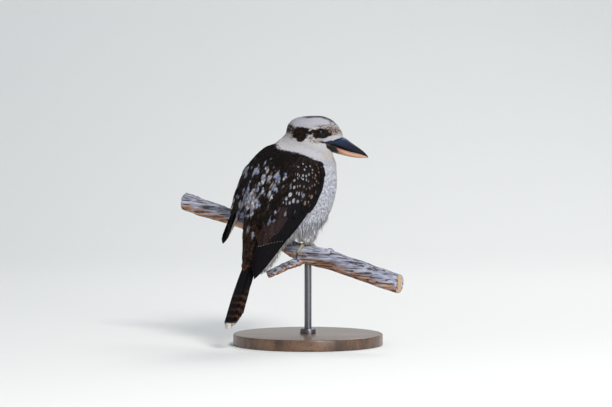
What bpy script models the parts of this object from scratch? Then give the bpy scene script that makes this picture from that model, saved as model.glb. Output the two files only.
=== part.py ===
"""A laughing kookaburra perched on a short cut branch, held by a plain display stand.

Metres, +Z up. The origin is the centre of the stand's underside. The bird is shaped in two frames
of its own: the body frame has its origin on top of the branch between the feet, x forward, y left
and z up, and the head frame has its origin midway between the eyes.
"""

import math

import bmesh
import bpy
from mathutils import Matrix, Vector, noise
from mathutils.bvhtree import BVHTree

# Driving dimensions
GAP = 0.0003
TAIL_LENGTH = 0.147
VANE = 0.0007
# Corners nearer than this are made one after a union or a cut
SLIVER = 0.000003

# The display stand: a disc, a collar and one rod up to the branch
BASE_RADIUS = 0.105
BASE_HEIGHT = 0.016
BASE_EDGE = 0.002
BASE_SIDES = 40
COLLAR_RADIUS = 0.011
COLLAR_HEIGHT = 0.007
COLLAR_SLOPE = (0.0020, 0.0025)
COLLAR_SIDES = 18
ROD_RADIUS = 0.005
ROD_SIDES = 20
TAIL_CLEARANCE = 0.010

# Where the bird stands, and which way its body and its head face
TAIL_DROP = 0.1175
FEET_HEIGHT = BASE_HEIGHT + TAIL_CLEARANCE + TAIL_DROP
FEET = Vector((-0.021, 0.0085, FEET_HEIGHT))
BODY_YAW = math.radians(45)
HEAD_YAW = math.radians(10)
EYE_LINE = Vector((0.044, -0.006, 0.1545))

BODY = Matrix.Translation(FEET) @ Matrix.Rotation(BODY_YAW, 4, "Z")
HEAD = Matrix.Translation(BODY @ EYE_LINE) @ Matrix.Rotation(HEAD_YAW, 4, "Z")

# Torso sections from the neck's root to the tail's root, each an oval between a front point and
# a back point of the body's middle plane: front x, front z, back x, back z, half width
TORSO = [
    (0.048, 0.128, -0.012, 0.143, 0.026),
    (0.063, 0.113, -0.036, 0.134, 0.040),
    (0.069, 0.095, -0.055, 0.112, 0.049),
    (0.068, 0.076, -0.066, 0.086, 0.052),
    (0.062, 0.055, -0.074, 0.060, 0.052),
    (0.052, 0.035, -0.081, 0.038, 0.047),
    (0.036, 0.024, -0.087, 0.020, 0.038),
    (0.006, 0.018, -0.090, 0.002, 0.030),
    (-0.022, 0.002, -0.092, -0.014, 0.024),
    (-0.040, -0.020, -0.094, -0.028, 0.018),
    (-0.054, -0.037, -0.095, -0.040, 0.011),
]
# Neck sections from inside the torso to inside the head: front x, y, z, back x, y, z, half width
NECK = [
    (0.064, -0.004, 0.086, -0.044, 0.004, 0.114, 0.044),
    (0.068, -0.013, 0.105, -0.030, 0.012, 0.132, 0.040),
    (0.062, -0.018, 0.120, -0.006, 0.017, 0.146, 0.031),
    (0.056, -0.014, 0.138, 0.012, 0.016, 0.158, 0.025),
]
# Head sections from the nape to the forehead: x, top z, bottom z, half width
SKULL = [
    (-0.0450, 0.006, -0.012, 0.007),
    (-0.0415, 0.0130, -0.021, 0.018),
    (-0.0340, 0.0190, -0.029, 0.0255),
    (-0.0240, 0.0218, -0.033, 0.0290),
    (-0.0120, 0.0229, -0.034, 0.0300),
    (0.0010, 0.0230, -0.033, 0.0275),
    (0.0120, 0.0208, -0.0305, 0.0228),
    (0.0220, 0.0155, -0.0275, 0.0172),
    (0.0300, 0.0068, -0.0225, 0.0125),
    (0.0355, -0.0030, -0.0175, 0.0085),
    (0.0375, -0.0080, -0.0150, 0.0045),
]
# Bill sections from the gape to the tip: x, top z, cutting edge z, bottom z, half width
BILL = [
    (0.0060, -0.0105, -0.0130, -0.0185, 0.0180),
    (0.0140, -0.0090, -0.0158, -0.0240, 0.0200),
    (0.0250, -0.0072, -0.0190, -0.0283, 0.0176),
    (0.0360, -0.0058, -0.0233, -0.0312, 0.0137),
    (0.0470, -0.0130, -0.0270, -0.0337, 0.0101),
    (0.0580, -0.0205, -0.0296, -0.0352, 0.0067),
    (0.0665, -0.0272, -0.0322, -0.0352, 0.0036),
    (0.0715, -0.0330, -0.0346, -0.0356, 0.0010),
]
BILL_RINGS = 9
BILL_CLEARANCE = 0.0004
NOSTRIL = Vector((0.0300, 0.0154, -0.0122))
NOSTRIL_SIZE = Vector((0.0032, 0.0022, 0.0011))

# The smooth body is sampled this finely, softened, and kept at this share of its faces
BODY_VOXEL = 0.0024
BODY_FEWER = 0.049
# The cuts that part it: a point and a normal for the head, in its frame, and for the neck
HEAD_CUT = ((-0.012, 0, -0.0215), (0.36, 0, 0.93))
NECK_CUT = ((0.020, 0, 0.1225), (0.24, 0, 0.97))

EYE_RADIUS = 0.0076
EYE_PROUD = 0.0014
EYE_PLACE = (-0.0045, 0.0, -0.0016)
EYE_AIM = (0.16, 0.02)
LID_RADIUS = 0.0061
LID_THICKNESS = 0.0012

# Wing sheets, each a lower edge and an upper edge from the wrist to the tip, in the body frame
# of a right wing. The left wing hangs loosely, so it has its own edges.
RIGHT_LOWER = [
    (0.011, -0.045, 0.113),
    (0.004, -0.054, 0.084),
    (-0.022, -0.055, 0.048),
    (-0.049, -0.044, 0.014),
    (-0.072, -0.031, -0.018),
    (-0.097, -0.021, -0.046),
]
RIGHT_UPPER = [
    (-0.024, -0.036, 0.120),
    (-0.048, -0.040, 0.092),
    (-0.062, -0.036, 0.062),
    (-0.076, -0.028, 0.028),
    (-0.088, -0.021, -0.004),
    (-0.100, -0.017, -0.044),
]
LEFT_LOWER = [
    (0.034, -0.044, 0.112),
    (0.020, -0.058, 0.086),
    (-0.008, -0.064, 0.060),
    (-0.040, -0.064, 0.040),
    (-0.066, -0.058, 0.019),
    (-0.086, -0.050, 0.000),
]
LEFT_UPPER = [
    (-0.024, -0.038, 0.120),
    (-0.045, -0.043, 0.096),
    (-0.060, -0.042, 0.070),
    (-0.067, -0.044, 0.044),
    (-0.077, -0.047, 0.020),
    (-0.088, -0.048, 0.000),
]
BACK_LINE = [
    (-0.020, -0.006, 0.143),
    (-0.052, -0.006, 0.118),
    (-0.072, -0.006, 0.088),
    (-0.080, -0.006, 0.058),
    (-0.088, -0.006, 0.030),
    (-0.093, -0.006, 0.004),
]
UPPER_SHARE = 0.72
SHEET_CLEARANCE = 0.0012
SHEET_STEP = 0.02
WING_BULGE = 0.006
PAD_GRID = (6, 4)
PAD_ALONG = (0.01, 0.48)
PAD_ACROSS = (0.06, 0.74)
PAD_HEIGHT = 0.0050
PAD_EDGE = 0.0008
PAD_DEPTH = 0.0016

# Feather rows of a wing: name, count, root along, root across from and to, tip along from and to,
# tip across from and to, half width, height at the root and at the tip, tilt in radians, stations
WING_ROWS = [
    ("primary", 5, 0.42, 0.10, 0.40, 1.00, 0.84, 0.12, 0.66, 0.0064, 0.0014, 0.0010, 0.30, 5),
    ("secondary", 5, 0.35, 0.12, 0.64, 0.68, 0.78, 0.14, 0.70, 0.0092, 0.0024, 0.0040, 0.16, 4),
    ("greater", 5, 0.24, 0.08, 0.64, 0.46, 0.54, 0.06, 0.66, 0.0092, 0.0036, 0.0064, 0.15, 4),
    ("median", 5, 0.14, 0.09, 0.62, 0.30, 0.37, 0.07, 0.64, 0.0090, 0.0040, 0.0072, 0.15, 4),
    ("lesser", 4, 0.05, 0.10, 0.60, 0.17, 0.24, 0.09, 0.60, 0.0092, 0.0034, 0.0074, 0.15, 4),
    ("scapular", 3, 0.16, 0.52, 0.68, 0.52, 0.46, 0.66, 0.86, 0.0088, 0.0050, 0.0066, 0.13, 4),
    ("shoulder", 3, 0.03, 0.50, 0.68, 0.32, 0.27, 0.62, 0.86, 0.0088, 0.0046, 0.0080, 0.13, 4),
]

# The tail: its root in the body frame, its lean off the vertical, and its feathers in pairs
TAIL_ROOT = Vector((-0.066, 0, 0.021))
TAIL_LEAN = math.radians(24)
TAIL_START = 0.040
TAIL_PAIRS = 6
TAIL_MIDDLE = 0.0016
TAIL_OFFSET = 0.0056
TAIL_STEP = 0.0005
TAIL_TOP = 0.0034
TAIL_LEVEL = 0.00112
TAIL_ROLL = math.radians(2.5)
TAIL_HALF = 0.0051
TAIL_MIDDLE_HALF = 0.0066
TAIL_SHORTER = 0.0018
TAIL_SPREAD = 0.0003
TAIL_BOW = 0.0015
# Down the tail, height off its back, half thickness and half width of the flesh at its root
TAIL_PLUG = [
    (0.016, -0.004, 0.0110, 0.0120),
    (0.036, -0.003, 0.0095, 0.0115),
    (0.056, -0.002, 0.0070, 0.0100),
    (0.070, -0.001, 0.0040, 0.0070),
]
# Coverts over and under the tail's root: to the right, end, height off its back
TAIL_COVERTS = [
    (0.0001, 0.086, 0.0066),
    (0.0068, 0.078, 0.0058),
    (-0.0068, 0.080, 0.0058),
    (0.0001, 0.084, -0.0088),
    (0.0068, 0.078, -0.0080),
    (-0.0068, 0.080, -0.0080),
]
TAIL_WIDTHS = {4: (0.6, 1.0, 0.9, 0.4), 5: (0.6, 0.92, 1.0, 0.96, 0.5)}

# Where each foot stands: the branch's X, the side, and the ankle in the body frame
FEET_PLACES = {
    "right": (-0.005, (-0.004, -0.018, 0.026)),
    "left": (-0.037, (-0.004, 0.019, 0.032)),
}
# The feathered thighs, from inside the belly to the bare leg: body frame x, y, z, radius
THIGHS = {
    "right": [
        (0.008, -0.021, 0.044, 0.020),
        (0.009, -0.021, 0.026, 0.0175),
        (0.007, -0.020, 0.013, 0.0125),
        (0.001, -0.019, 0.005, 0.0055),
    ],
    "left": [
        (0.008, 0.021, 0.046, 0.020),
        (0.007, 0.021, 0.031, 0.0165),
        (0.004, 0.020, 0.021, 0.0115),
        (-0.001, 0.019, 0.0155, 0.0055),
    ],
}
# Toes: along the branch, degrees round it, further along the branch at the tip, radius
TOES = [
    (-0.0065, 88, -0.0010, 0.0024),
    (0.0005, 104, 0.0030, 0.0027),
    (0.0060, 92, 0.0060, 0.0025),
    (-0.0010, -84, -0.0010, 0.0026),
]
TOE_STEPS = 7
TOE_SIDES = 6
TOE_JOINTS = 2.5
CLAW_STEPS = 6
CLAW_RADIUS = 0.0015
CLAW_SWEEP = math.radians(40)
CLAW_ARCH = 0.0010
CLAW_GAP_ANGLE = math.radians(4)


def along(rows, share):
    """The row at this share of a table's length, on a smooth curve through the rows."""
    place = min(max(share, 0.0), 1.0) * (len(rows) - 1)
    i = min(int(place), len(rows) - 2)
    u = place - i
    before, start, end, after = (
        rows[max(i - 1, 0)],
        rows[i],
        rows[i + 1],
        rows[min(i + 2, len(rows) - 1)],
    )
    return [
        0.5 * (2 * b + (c - a) * u + (2 * a - 5 * b + 4 * c - d) * u * u + (3 * b - a - 3 * c + d) * u**3)
        for a, b, c, d in zip(before, start, end, after)
    ]


def new_object(name, points, faces):
    mesh = bpy.data.meshes.new(name)
    mesh.from_pydata([tuple(p) for p in points], [], faces)
    mesh.validate()
    obj = bpy.data.objects.new(name, mesh)
    bpy.context.scene.collection.objects.link(obj)
    return obj


def oval(centre, half_a, half_b, sides, squareness=2.0):
    """Points round an oval: half_a is met at angle 0 and half_b a quarter turn on."""
    points = []
    for i in range(sides):
        angle = 2 * math.pi * i / sides
        c, s = math.cos(angle), math.sin(angle)
        power = 2 / squareness
        points.append(
            centre
            + half_a * math.copysign(abs(c) ** power, c)
            + half_b * math.copysign(abs(s) ** power, s)
        )
    return points


def loft(name, rings):
    """A closed skin over rings of equal count, ends filled."""
    sides = len(rings[0])
    points = [p for ring in rings for p in ring]
    faces = []
    for r in range(len(rings) - 1):
        for i in range(sides):
            j = (i + 1) % sides
            a, b = r * sides, (r + 1) * sides
            faces.append((a + i, a + j, b + j, b + i))
    faces.append(tuple(range(sides - 1, -1, -1)))
    last = (len(rings) - 1) * sides
    faces.append(tuple(last + i for i in range(sides)))
    obj = new_object(name, points, faces)
    face_out(obj)
    return obj


def face_out(obj):
    work = bmesh.new()
    work.from_mesh(obj.data)
    bmesh.ops.recalc_face_normals(work, faces=work.faces)
    if work.calc_volume(signed=True) < 0:
        bmesh.ops.reverse_faces(work, faces=work.faces)
    work.to_mesh(obj.data)
    work.free()


def apply_modifiers(obj):
    graph = bpy.context.evaluated_depsgraph_get()
    graph.update()
    mesh = bpy.data.meshes.new_from_object(obj.evaluated_get(graph))
    obj.modifiers.clear()
    old = obj.data
    obj.data = mesh
    bpy.data.meshes.remove(old)


def union(name, pieces, solver="EXACT"):
    """One object from closed overlapping pieces. The pieces are removed."""
    gathered = bpy.data.collections.new(name + "_pieces")
    bpy.context.scene.collection.children.link(gathered)
    first, rest = pieces[0], pieces[1:]
    for piece in rest:
        for owner in list(piece.users_collection):
            owner.objects.unlink(piece)
        gathered.objects.link(piece)
    first.name = name
    join = first.modifiers.new("join", "BOOLEAN")
    join.operation = "UNION"
    join.solver = solver
    join.operand_type = "COLLECTION"
    join.collection = gathered
    apply_modifiers(first)
    for piece in rest:
        bpy.data.objects.remove(piece, do_unlink=True)
    bpy.data.collections.remove(gathered)
    return first


def cut(obj, cutter, keep_cutter=False):
    shave = obj.modifiers.new("cut", "BOOLEAN")
    shave.operation = "DIFFERENCE"
    shave.solver = "EXACT"
    shave.object = cutter
    apply_modifiers(obj)
    if not keep_cutter:
        bpy.data.objects.remove(cutter, do_unlink=True)


def swollen(obj, by):
    """A copy of a closed object with its surface moved out, for cutting its neighbours."""
    copy = bpy.data.objects.new(obj.name + "_swollen", obj.data.copy())
    bpy.context.scene.collection.objects.link(copy)
    copy.data.update()
    moves = [vertex.normal * by for vertex in copy.data.vertices]
    for vertex, move in zip(copy.data.vertices, moves):
        vertex.co += move
    return copy


def keep_largest(obj):
    """Only the largest closed surface of the object is kept, so no scrap or sealed hollow is left."""
    work = bmesh.new()
    work.from_mesh(obj.data)
    bmesh.ops.remove_doubles(work, verts=work.verts, dist=SLIVER)
    bmesh.ops.dissolve_degenerate(work, edges=work.edges, dist=SLIVER)
    bmesh.ops.triangulate(work, faces=work.faces)
    left = set(work.faces)
    shells = []
    while left:
        seed = left.pop()
        shell, edge = [seed], [seed]
        while edge:
            face = edge.pop()
            for side in face.edges:
                beside = side.link_faces if len(side.link_faces) == 2 else []
                for other in beside:
                    if other in left:
                        left.remove(other)
                        shell.append(other)
                        edge.append(other)
        shells.append(shell)
    shells.sort(key=lambda shell: -sum(face.calc_area() for face in shell))
    for shell in shells[1:]:
        bmesh.ops.delete(work, geom=shell, context="FACES")
    loose = [v for v in work.verts if not v.link_faces]
    bmesh.ops.delete(work, geom=loose, context="VERTS")
    work.to_mesh(obj.data)
    work.free()


def sliced(obj, name, planes):
    """A copy of the object, kept on the side of each plane that its normal points away from."""
    work = bmesh.new()
    work.from_mesh(obj.data)
    for point, normal in planes:
        made = bmesh.ops.bisect_plane(
            work,
            geom=work.verts[:] + work.edges[:] + work.faces[:],
            dist=1e-7,
            plane_co=point,
            plane_no=normal,
            clear_outer=True,
        )
        rim = [e for e in made["geom_cut"] if isinstance(e, bmesh.types.BMEdge)]
        bmesh.ops.triangle_fill(work, edges=rim, use_beauty=True, use_dissolve=False)
    bmesh.ops.recalc_face_normals(work, faces=work.faces)
    mesh = bpy.data.meshes.new(name)
    work.to_mesh(mesh)
    work.free()
    part = bpy.data.objects.new(name, mesh)
    bpy.context.scene.collection.objects.link(part)
    face_out(part)
    return part


def finish(obj, name, colour, roughness, metallic=0.0, smooth=True):
    """Names the node and gives it its material."""
    obj.name = name
    obj.data.name = name
    look = bpy.data.materials.get(colour[0]) or bpy.data.materials.new(colour[0])
    look.use_nodes = True
    shader = look.node_tree.nodes["Principled BSDF"]
    shader.inputs["Base Color"].default_value = (*colour[1], 1.0)
    shader.inputs["Roughness"].default_value = roughness
    shader.inputs["Metallic"].default_value = metallic
    look.diffuse_color = (*colour[1], 1.0)
    obj.data.materials.clear()
    obj.data.materials.append(look)
    if smooth:
        obj.data.shade_smooth()
        obj.data.set_sharp_from_angle(angle=math.radians(40))
    return obj


WHITE = ("white_plumage", (0.80, 0.77, 0.72))
DARK = ("dark_plumage", (0.075, 0.055, 0.045))
TAIL_BARS = ("barred_tail", (0.16, 0.07, 0.035))
BILL_BLACK = ("bill_black", (0.03, 0.035, 0.055))
BILL_HORN = ("bill_horn", (0.62, 0.36, 0.24))
EYE = ("eye_brown", (0.025, 0.015, 0.01))
SKIN = ("foot_skin", (0.36, 0.36, 0.26))
CLAW = ("claw_black", (0.05, 0.045, 0.04))
BARK = ("weathered_wood", (0.36, 0.33, 0.32))
STAND_WOOD = ("stand_wood", (0.10, 0.06, 0.04))
STEEL = ("stand_steel", (0.10, 0.10, 0.11))


def smooth_body():
    """Torso, neck and head as one smooth form, before it is parted."""
    side = (BODY.to_3x3() @ Vector((0, 1, 0))).normalized()
    rings = []
    for i in range(25):
        front_x, front_z, back_x, back_z, width = along(TORSO, i / 24)
        front = BODY @ Vector((front_x, 0, front_z))
        back = BODY @ Vector((back_x, 0, back_z))
        rings.append(oval((front + back) / 2, (front - back) / 2, side * width, 32, 2.15))
    torso = loft("torso_form", rings)
    rings = []
    for i in range(10):
        row = along(NECK, i / 9)
        front, back = BODY @ Vector(row[0:3]), BODY @ Vector(row[3:6])
        across = (front - back).cross(Vector((0, 0, 1))).normalized() * -row[6]
        rings.append(oval((front + back) / 2, (front - back) / 2, across, 32, 2.1))
    neck = loft("neck_form", rings)
    rings = []
    for i in range(25):
        x, top, bottom, width = along(SKULL, i / 24)
        middle = HEAD @ Vector((x, 0, (top + bottom) / 2))
        up = Vector((0, 0, (top - bottom) / 2))
        across = (HEAD.to_3x3() @ Vector((0, 1, 0))) * width
        rings.append(oval(middle, up, across, 32, 2.15))
    skull = loft("skull_form", rings)
    body = union("body_form", [torso, neck, skull])
    remesh = body.modifiers.new("remesh", "REMESH")
    remesh.mode = "VOXEL"
    remesh.voxel_size = BODY_VOXEL
    soften = body.modifiers.new("soften", "SMOOTH")
    soften.factor = 0.5
    soften.iterations = 10
    fewer = body.modifiers.new("fewer", "DECIMATE")
    fewer.ratio = BODY_FEWER
    apply_modifiers(body)
    keep_largest(body)
    return body


def part_body(body):
    """Head, neck and torso, parted from the smooth form by two thin cuts."""
    head_point = HEAD @ Vector(HEAD_CUT[0])
    head_normal = (HEAD.to_3x3() @ Vector(HEAD_CUT[1])).normalized()
    neck_point = BODY @ Vector(NECK_CUT[0])
    neck_normal = (BODY.to_3x3() @ Vector(NECK_CUT[1])).normalized()
    half = GAP / 2
    head = sliced(body, "head", [(head_point + head_normal * half, -head_normal)])
    neck = sliced(
        body,
        "neck",
        [
            (head_point - head_normal * half, head_normal),
            (neck_point + neck_normal * half, -neck_normal),
        ],
    )
    torso = sliced(body, "torso", [(neck_point - neck_normal * half, neck_normal)])
    return head, neck, torso


def ball(name, centre, radius, segments=16, rings=10, scale=(1, 1, 1), turn=None):
    mesh = bpy.data.meshes.new(name)
    work = bmesh.new()
    bmesh.ops.create_uvsphere(work, u_segments=segments, v_segments=rings, radius=radius)
    place = Matrix.Translation(centre) @ (turn or Matrix.Identity(4)) @ Matrix.Diagonal((*scale, 1))
    bmesh.ops.transform(work, matrix=place, verts=work.verts)
    work.to_mesh(mesh)
    work.free()
    obj = bpy.data.objects.new(name, mesh)
    bpy.context.scene.collection.objects.link(obj)
    return obj


def lid_ring(name, centre, out):
    """A flattened ring round the eye: the two lids."""
    turn = out.to_track_quat("Z", "Y").to_matrix().to_4x4()
    rings = []
    around = 18
    for i in range(around):
        angle = 2 * math.pi * i / around
        radial = Vector((math.cos(angle), math.sin(angle), 0))
        middle = radial * LID_RADIUS
        ring = []
        for k in range(6):
            a = 2 * math.pi * k / 6
            lift = Vector((0, 0, math.sin(a)))
            local = middle + (radial * math.cos(a) + lift) * LID_THICKNESS
            ring.append(Matrix.Translation(centre) @ turn @ local)
        rings.append(ring)
    points = [p for ring in rings for p in ring]
    faces = []
    for r in range(around):
        a, b = r * 6, ((r + 1) % around) * 6
        for i in range(6):
            j = (i + 1) % 6
            faces.append((a + i, a + j, b + j, b + i))
    obj = new_object(name, points, faces)
    face_out(obj)
    return obj


def bill_half(name, upper, grow=0.0):
    """One half of the bill, or with grow the same form made larger all round, to cut its seat."""
    rings = []
    for i in range(BILL_RINGS):
        x, top, edge, bottom, width = along(BILL, i / (BILL_RINGS - 1))
        ring = []
        high = grow + (top if upper else edge - GAP / 2)
        low = (edge + GAP / 2 if upper else bottom) - grow
        for k in range(12):
            angle = 2 * math.pi * k / 12
            c, s = math.cos(angle), math.sin(angle)
            # The flat of each half is its cutting side, so the oval is squared there.
            z = (high + low) / 2 + (high - low) / 2 * c
            flat_side = (c < 0) if upper else (c > 0)
            reach = abs(s) ** (0.45 if flat_side else 0.85)
            start = -grow if i == 0 else 0.0
            ring.append(HEAD @ Vector((x + start, math.copysign((width + grow) * reach, s), z)))
        rings.append(ring)
    half = loft(name, rings)
    # The twisted faces are split alike on the bill and on its seat, or they would cross.
    work = bmesh.new()
    work.from_mesh(half.data)
    bmesh.ops.triangulate(work, faces=work.faces, quad_method="FIXED")
    work.to_mesh(half.data)
    work.free()
    return half


def make_head(head):
    """Bill, eyes, lids and nostrils, and the head that holds them."""
    upper = bill_half("bill_upper", True)
    lower = bill_half("bill_lower", False)
    for sign in (1, -1):
        place = HEAD @ Vector((NOSTRIL.x, sign * NOSTRIL.y, NOSTRIL.z))
        turn = HEAD.to_3x3().to_4x4() @ Matrix.Rotation(math.radians(12), 4, "Y")
        scale = NOSTRIL_SIZE / NOSTRIL_SIZE.x
        cut(upper, ball("nostril_cutter", place, NOSTRIL_SIZE.x, 10, 6, scale, turn))
    lids = []
    centres = {}
    tree = BVHTree.FromObject(head, bpy.context.evaluated_depsgraph_get())
    for side, sign in (("left", 1), ("right", -1)):
        out = (HEAD.to_3x3() @ Vector((EYE_AIM[0], sign, EYE_AIM[1]))).normalized()
        middle = HEAD @ Vector(EYE_PLACE)
        skin, _, _, _ = tree.ray_cast(middle + out, -out)
        centres[side] = skin - out * (EYE_RADIUS - EYE_PROUD)
        reach = math.sqrt(EYE_RADIUS**2 - LID_RADIUS**2)
        lids.append(lid_ring("lid_" + side, centres[side] + out * reach, out))
    head = union("head", [head] + lids)
    for side, centre in centres.items():
        cut(head, ball("socket_cutter", centre, EYE_RADIUS + GAP, 16, 10))
        eye = ball("eye_" + side, centre, EYE_RADIUS, 14, 8)
        finish(eye, "eye_" + side, EYE, 0.08)
    cut(head, bill_half("upper_seat", True, BILL_CLEARANCE))
    cut(head, bill_half("lower_seat", False, BILL_CLEARANCE))
    keep_largest(head)
    finish(head, "head", WHITE, 0.8)
    finish(upper, "bill_upper", BILL_BLACK, 0.35)
    finish(lower, "bill_lower", BILL_HORN, 0.4)


def vane(name, frames, widths, thickness=VANE, camber=0.03):
    """A thin curved plate through (centre, side, normal) frames, split alike on both faces."""
    count = len(frames)
    points = []
    for layer in (1, -1):
        for (centre, side, normal), width in zip(frames, widths):
            for x in (-1, 0, 1):
                bow = -camber * width * x * x
                points.append(centre + side * (x * width) + normal * (bow + layer * thickness / 2))
    faces = []
    for layer in (0, 1):
        base = layer * count * 3
        for r in range(count - 1):
            for c in range(2):
                a = base + r * 3 + c
                tris = [(a, a + 1, a + 4), (a, a + 4, a + 3)]
                faces += tris if layer == 0 else [t[::-1] for t in tris]
    below = count * 3
    rim = [r * 3 for r in range(count)] + [(count - 1) * 3 + 1]
    rim += [r * 3 + 2 for r in range(count - 1, -1, -1)] + [1]
    for a, b in zip(rim, rim[1:] + rim[:1]):
        faces += [(a, b, b + below), (a, b + below, a + below)]
    obj = new_object(name, points, faces)
    face_out(obj)
    return obj


VANE_STEPS = {4: (0.0, 0.40, 0.80, 1.0), 5: (0.0, 0.3, 0.62, 0.88, 1.0)}
VANE_WIDTHS = {4: (0.55, 1.0, 0.86, 0.34), 5: (0.5, 0.9, 1.0, 0.76, 0.3)}


class Sheet:
    """A wing's surface: along, 0 at the wrist to 1 at the tip, and across, 0 low to 1 at the spine."""

    def __init__(self, lower, upper, torso_tree, mirror):
        self.lower, self.upper = lower, upper
        self.tree = torso_tree
        self.flip = Matrix.Diagonal((1, -1 if mirror else 1, 1, 1))
        centre = BODY @ self.flip @ Vector((-0.01, 0, 0.06))
        self.inside = centre

    def place(self, share, across):
        low, high, back = (Vector(along(t, share)) for t in (self.lower, self.upper, BACK_LINE))
        if across < UPPER_SHARE:
            local = low.lerp(high, across / UPPER_SHARE)
            hump = across / UPPER_SHARE
            out = Vector((-0.45, -1.0, 0.15)).normalized()
            local += out * WING_BULGE * 4 * hump * (1 - hump) * (1 - share * 0.6)
        else:
            local = high.lerp(back, (across - UPPER_SHARE) / (1 - UPPER_SHARE))
        point = BODY @ self.flip @ local
        near, normal, _, _ = self.tree.find_nearest(point)
        rise = (point - near).dot(normal)
        if rise < SHEET_CLEARANCE:
            point = near + normal * SHEET_CLEARANCE
        return point

    def frame(self, share, across):
        """A point of the sheet and the normal there, away from the body."""
        step = SHEET_STEP
        point = self.place(share, across)
        a = self.place(min(share + step, 1), across) - self.place(max(share - step, 0), across)
        b = self.place(share, min(across + step, 1)) - self.place(share, max(across - step, 0))
        normal = a.cross(b).normalized()
        if normal.dot(point - self.inside) < 0:
            normal.negate()
        return point, normal


def wing_vane(sheet, name, root, tip, half_width, heights, tilt, steps, left):
    """A feather from one place on the sheet to another, its lower edge raised over its neighbour."""
    marks = VANE_STEPS[steps]
    root, tip = Vector(root), Vector(tip)
    spots = [sheet.frame(*root.lerp(tip, u)) for u in marks]
    frames = []
    for k, (u, (point, normal)) in enumerate(zip(marks, spots)):
        ahead = spots[min(k + 1, steps - 1)][0] - spots[max(k - 1, 0)][0]
        side = ahead.cross(normal).normalized()
        if left:
            side.negate()
        lean = Matrix.Rotation(tilt if left else -tilt, 3, ahead.normalized())
        height = heights[0] + (heights[1] - heights[0]) * u
        frames.append((point + normal * height, lean @ side, lean @ normal))
    widths = [half_width * w for w in VANE_WIDTHS[steps]]
    return vane(name, frames, widths)


def wing_pad(sheet, name):
    """The fleshy arm of the wing, which the feathers grow from."""
    rows, columns = PAD_GRID
    points, top, bottom = [], {}, {}
    for i in range(rows):
        for j in range(columns):
            share = PAD_ALONG[0] + (PAD_ALONG[1] - PAD_ALONG[0]) * i / (rows - 1)
            across = PAD_ACROSS[0] + (PAD_ACROSS[1] - PAD_ACROSS[0]) * j / (columns - 1)
            point, normal = sheet.frame(share, across)
            rise = math.sin(math.pi * (i + 0.6) / (rows + 0.2))
            swell = math.sqrt(rise * math.sin(math.pi * (j + 0.5) / columns))
            top[i, j] = len(points)
            points.append(point + normal * (PAD_EDGE + PAD_HEIGHT * swell))
            bottom[i, j] = len(points)
            points.append(point - normal * PAD_DEPTH)
    faces = []
    for i in range(rows - 1):
        for j in range(columns - 1):
            faces.append((top[i, j], top[i + 1, j], top[i + 1, j + 1], top[i, j + 1]))
            faces.append((bottom[i, j], bottom[i, j + 1], bottom[i + 1, j + 1], bottom[i + 1, j]))
    edge = [(i, 0) for i in range(rows)] + [(rows - 1, j) for j in range(1, columns)]
    edge += [(i, columns - 1) for i in range(rows - 2, -1, -1)]
    edge += [(0, j) for j in range(columns - 2, 0, -1)]
    for a, b in zip(edge, edge[1:] + edge[:1]):
        faces.append((top[a], bottom[a], bottom[b], top[b]))
    obj = new_object(name, points, faces)
    face_out(obj)
    return obj


def make_wing(side, torso, torso_tree):
    left = side == "left"
    lower, upper = (LEFT_LOWER, LEFT_UPPER) if left else (RIGHT_LOWER, RIGHT_UPPER)
    sheet = Sheet(lower, upper, torso_tree, left)
    pieces = [wing_pad(sheet, "wing_" + side)]
    for row in WING_ROWS:
        name, count, root_along, root_a, root_b, tip_a, tip_b, across_a, across_b = row[:9]
        half_width, low, high, tilt, steps = row[9:]
        for i in range(count):
            share = i / (count - 1)
            root = (root_along, root_a + (root_b - root_a) * share)
            tip = (tip_a + (tip_b - tip_a) * share, across_a + (across_b - across_a) * share)
            heights = (low, high)
            label = f"{name}_{i}"
            pieces.append(wing_vane(sheet, label, root, tip, half_width, heights, tilt, steps, left))
    wing = union("wing_" + side, pieces, "MANIFOLD")
    cut(wing, swollen(torso, GAP))
    keep_largest(wing)
    finish(wing, "wing_" + side, DARK, 0.65)
    return wing


class Tail:
    """The tail's own frame: x down its axis from the root, y to the bird's right, z off its back."""

    axis = Vector((-math.sin(TAIL_LEAN), 0, -math.cos(TAIL_LEAN)))
    back = Vector((-math.cos(TAIL_LEAN), 0, math.sin(TAIL_LEAN)))

    @classmethod
    def at(cls, down, right, raised):
        return BODY @ (TAIL_ROOT + cls.axis * down + Vector((0, -right, 0)) + cls.back * raised)

    @classmethod
    def turn(cls, roll):
        """Side and normal of a vane that leans by this angle about the tail's axis."""
        body = BODY.to_3x3()
        side = Vector((0, -math.cos(roll), 0)) - cls.back * math.sin(roll)
        normal = cls.back * math.cos(roll) + Vector((0, -math.sin(roll), 0))
        return body @ side, body @ normal


def tail_vane(name, start, end, half_width, right, raised, roll, steps, spread=0.0):
    frames = []
    for u in VANE_STEPS[steps]:
        down = start + (end - start) * u
        out = right * (0.55 + 0.45 * u) + math.copysign(spread, right) * u
        bow = TAIL_BOW * math.sin(math.pi * u)
        side, normal = Tail.turn(roll)
        frames.append((Tail.at(down, out, raised + bow), side, normal))
    widths = [half_width * w for w in TAIL_WIDTHS[steps]]
    return vane(name, frames, widths)


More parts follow.
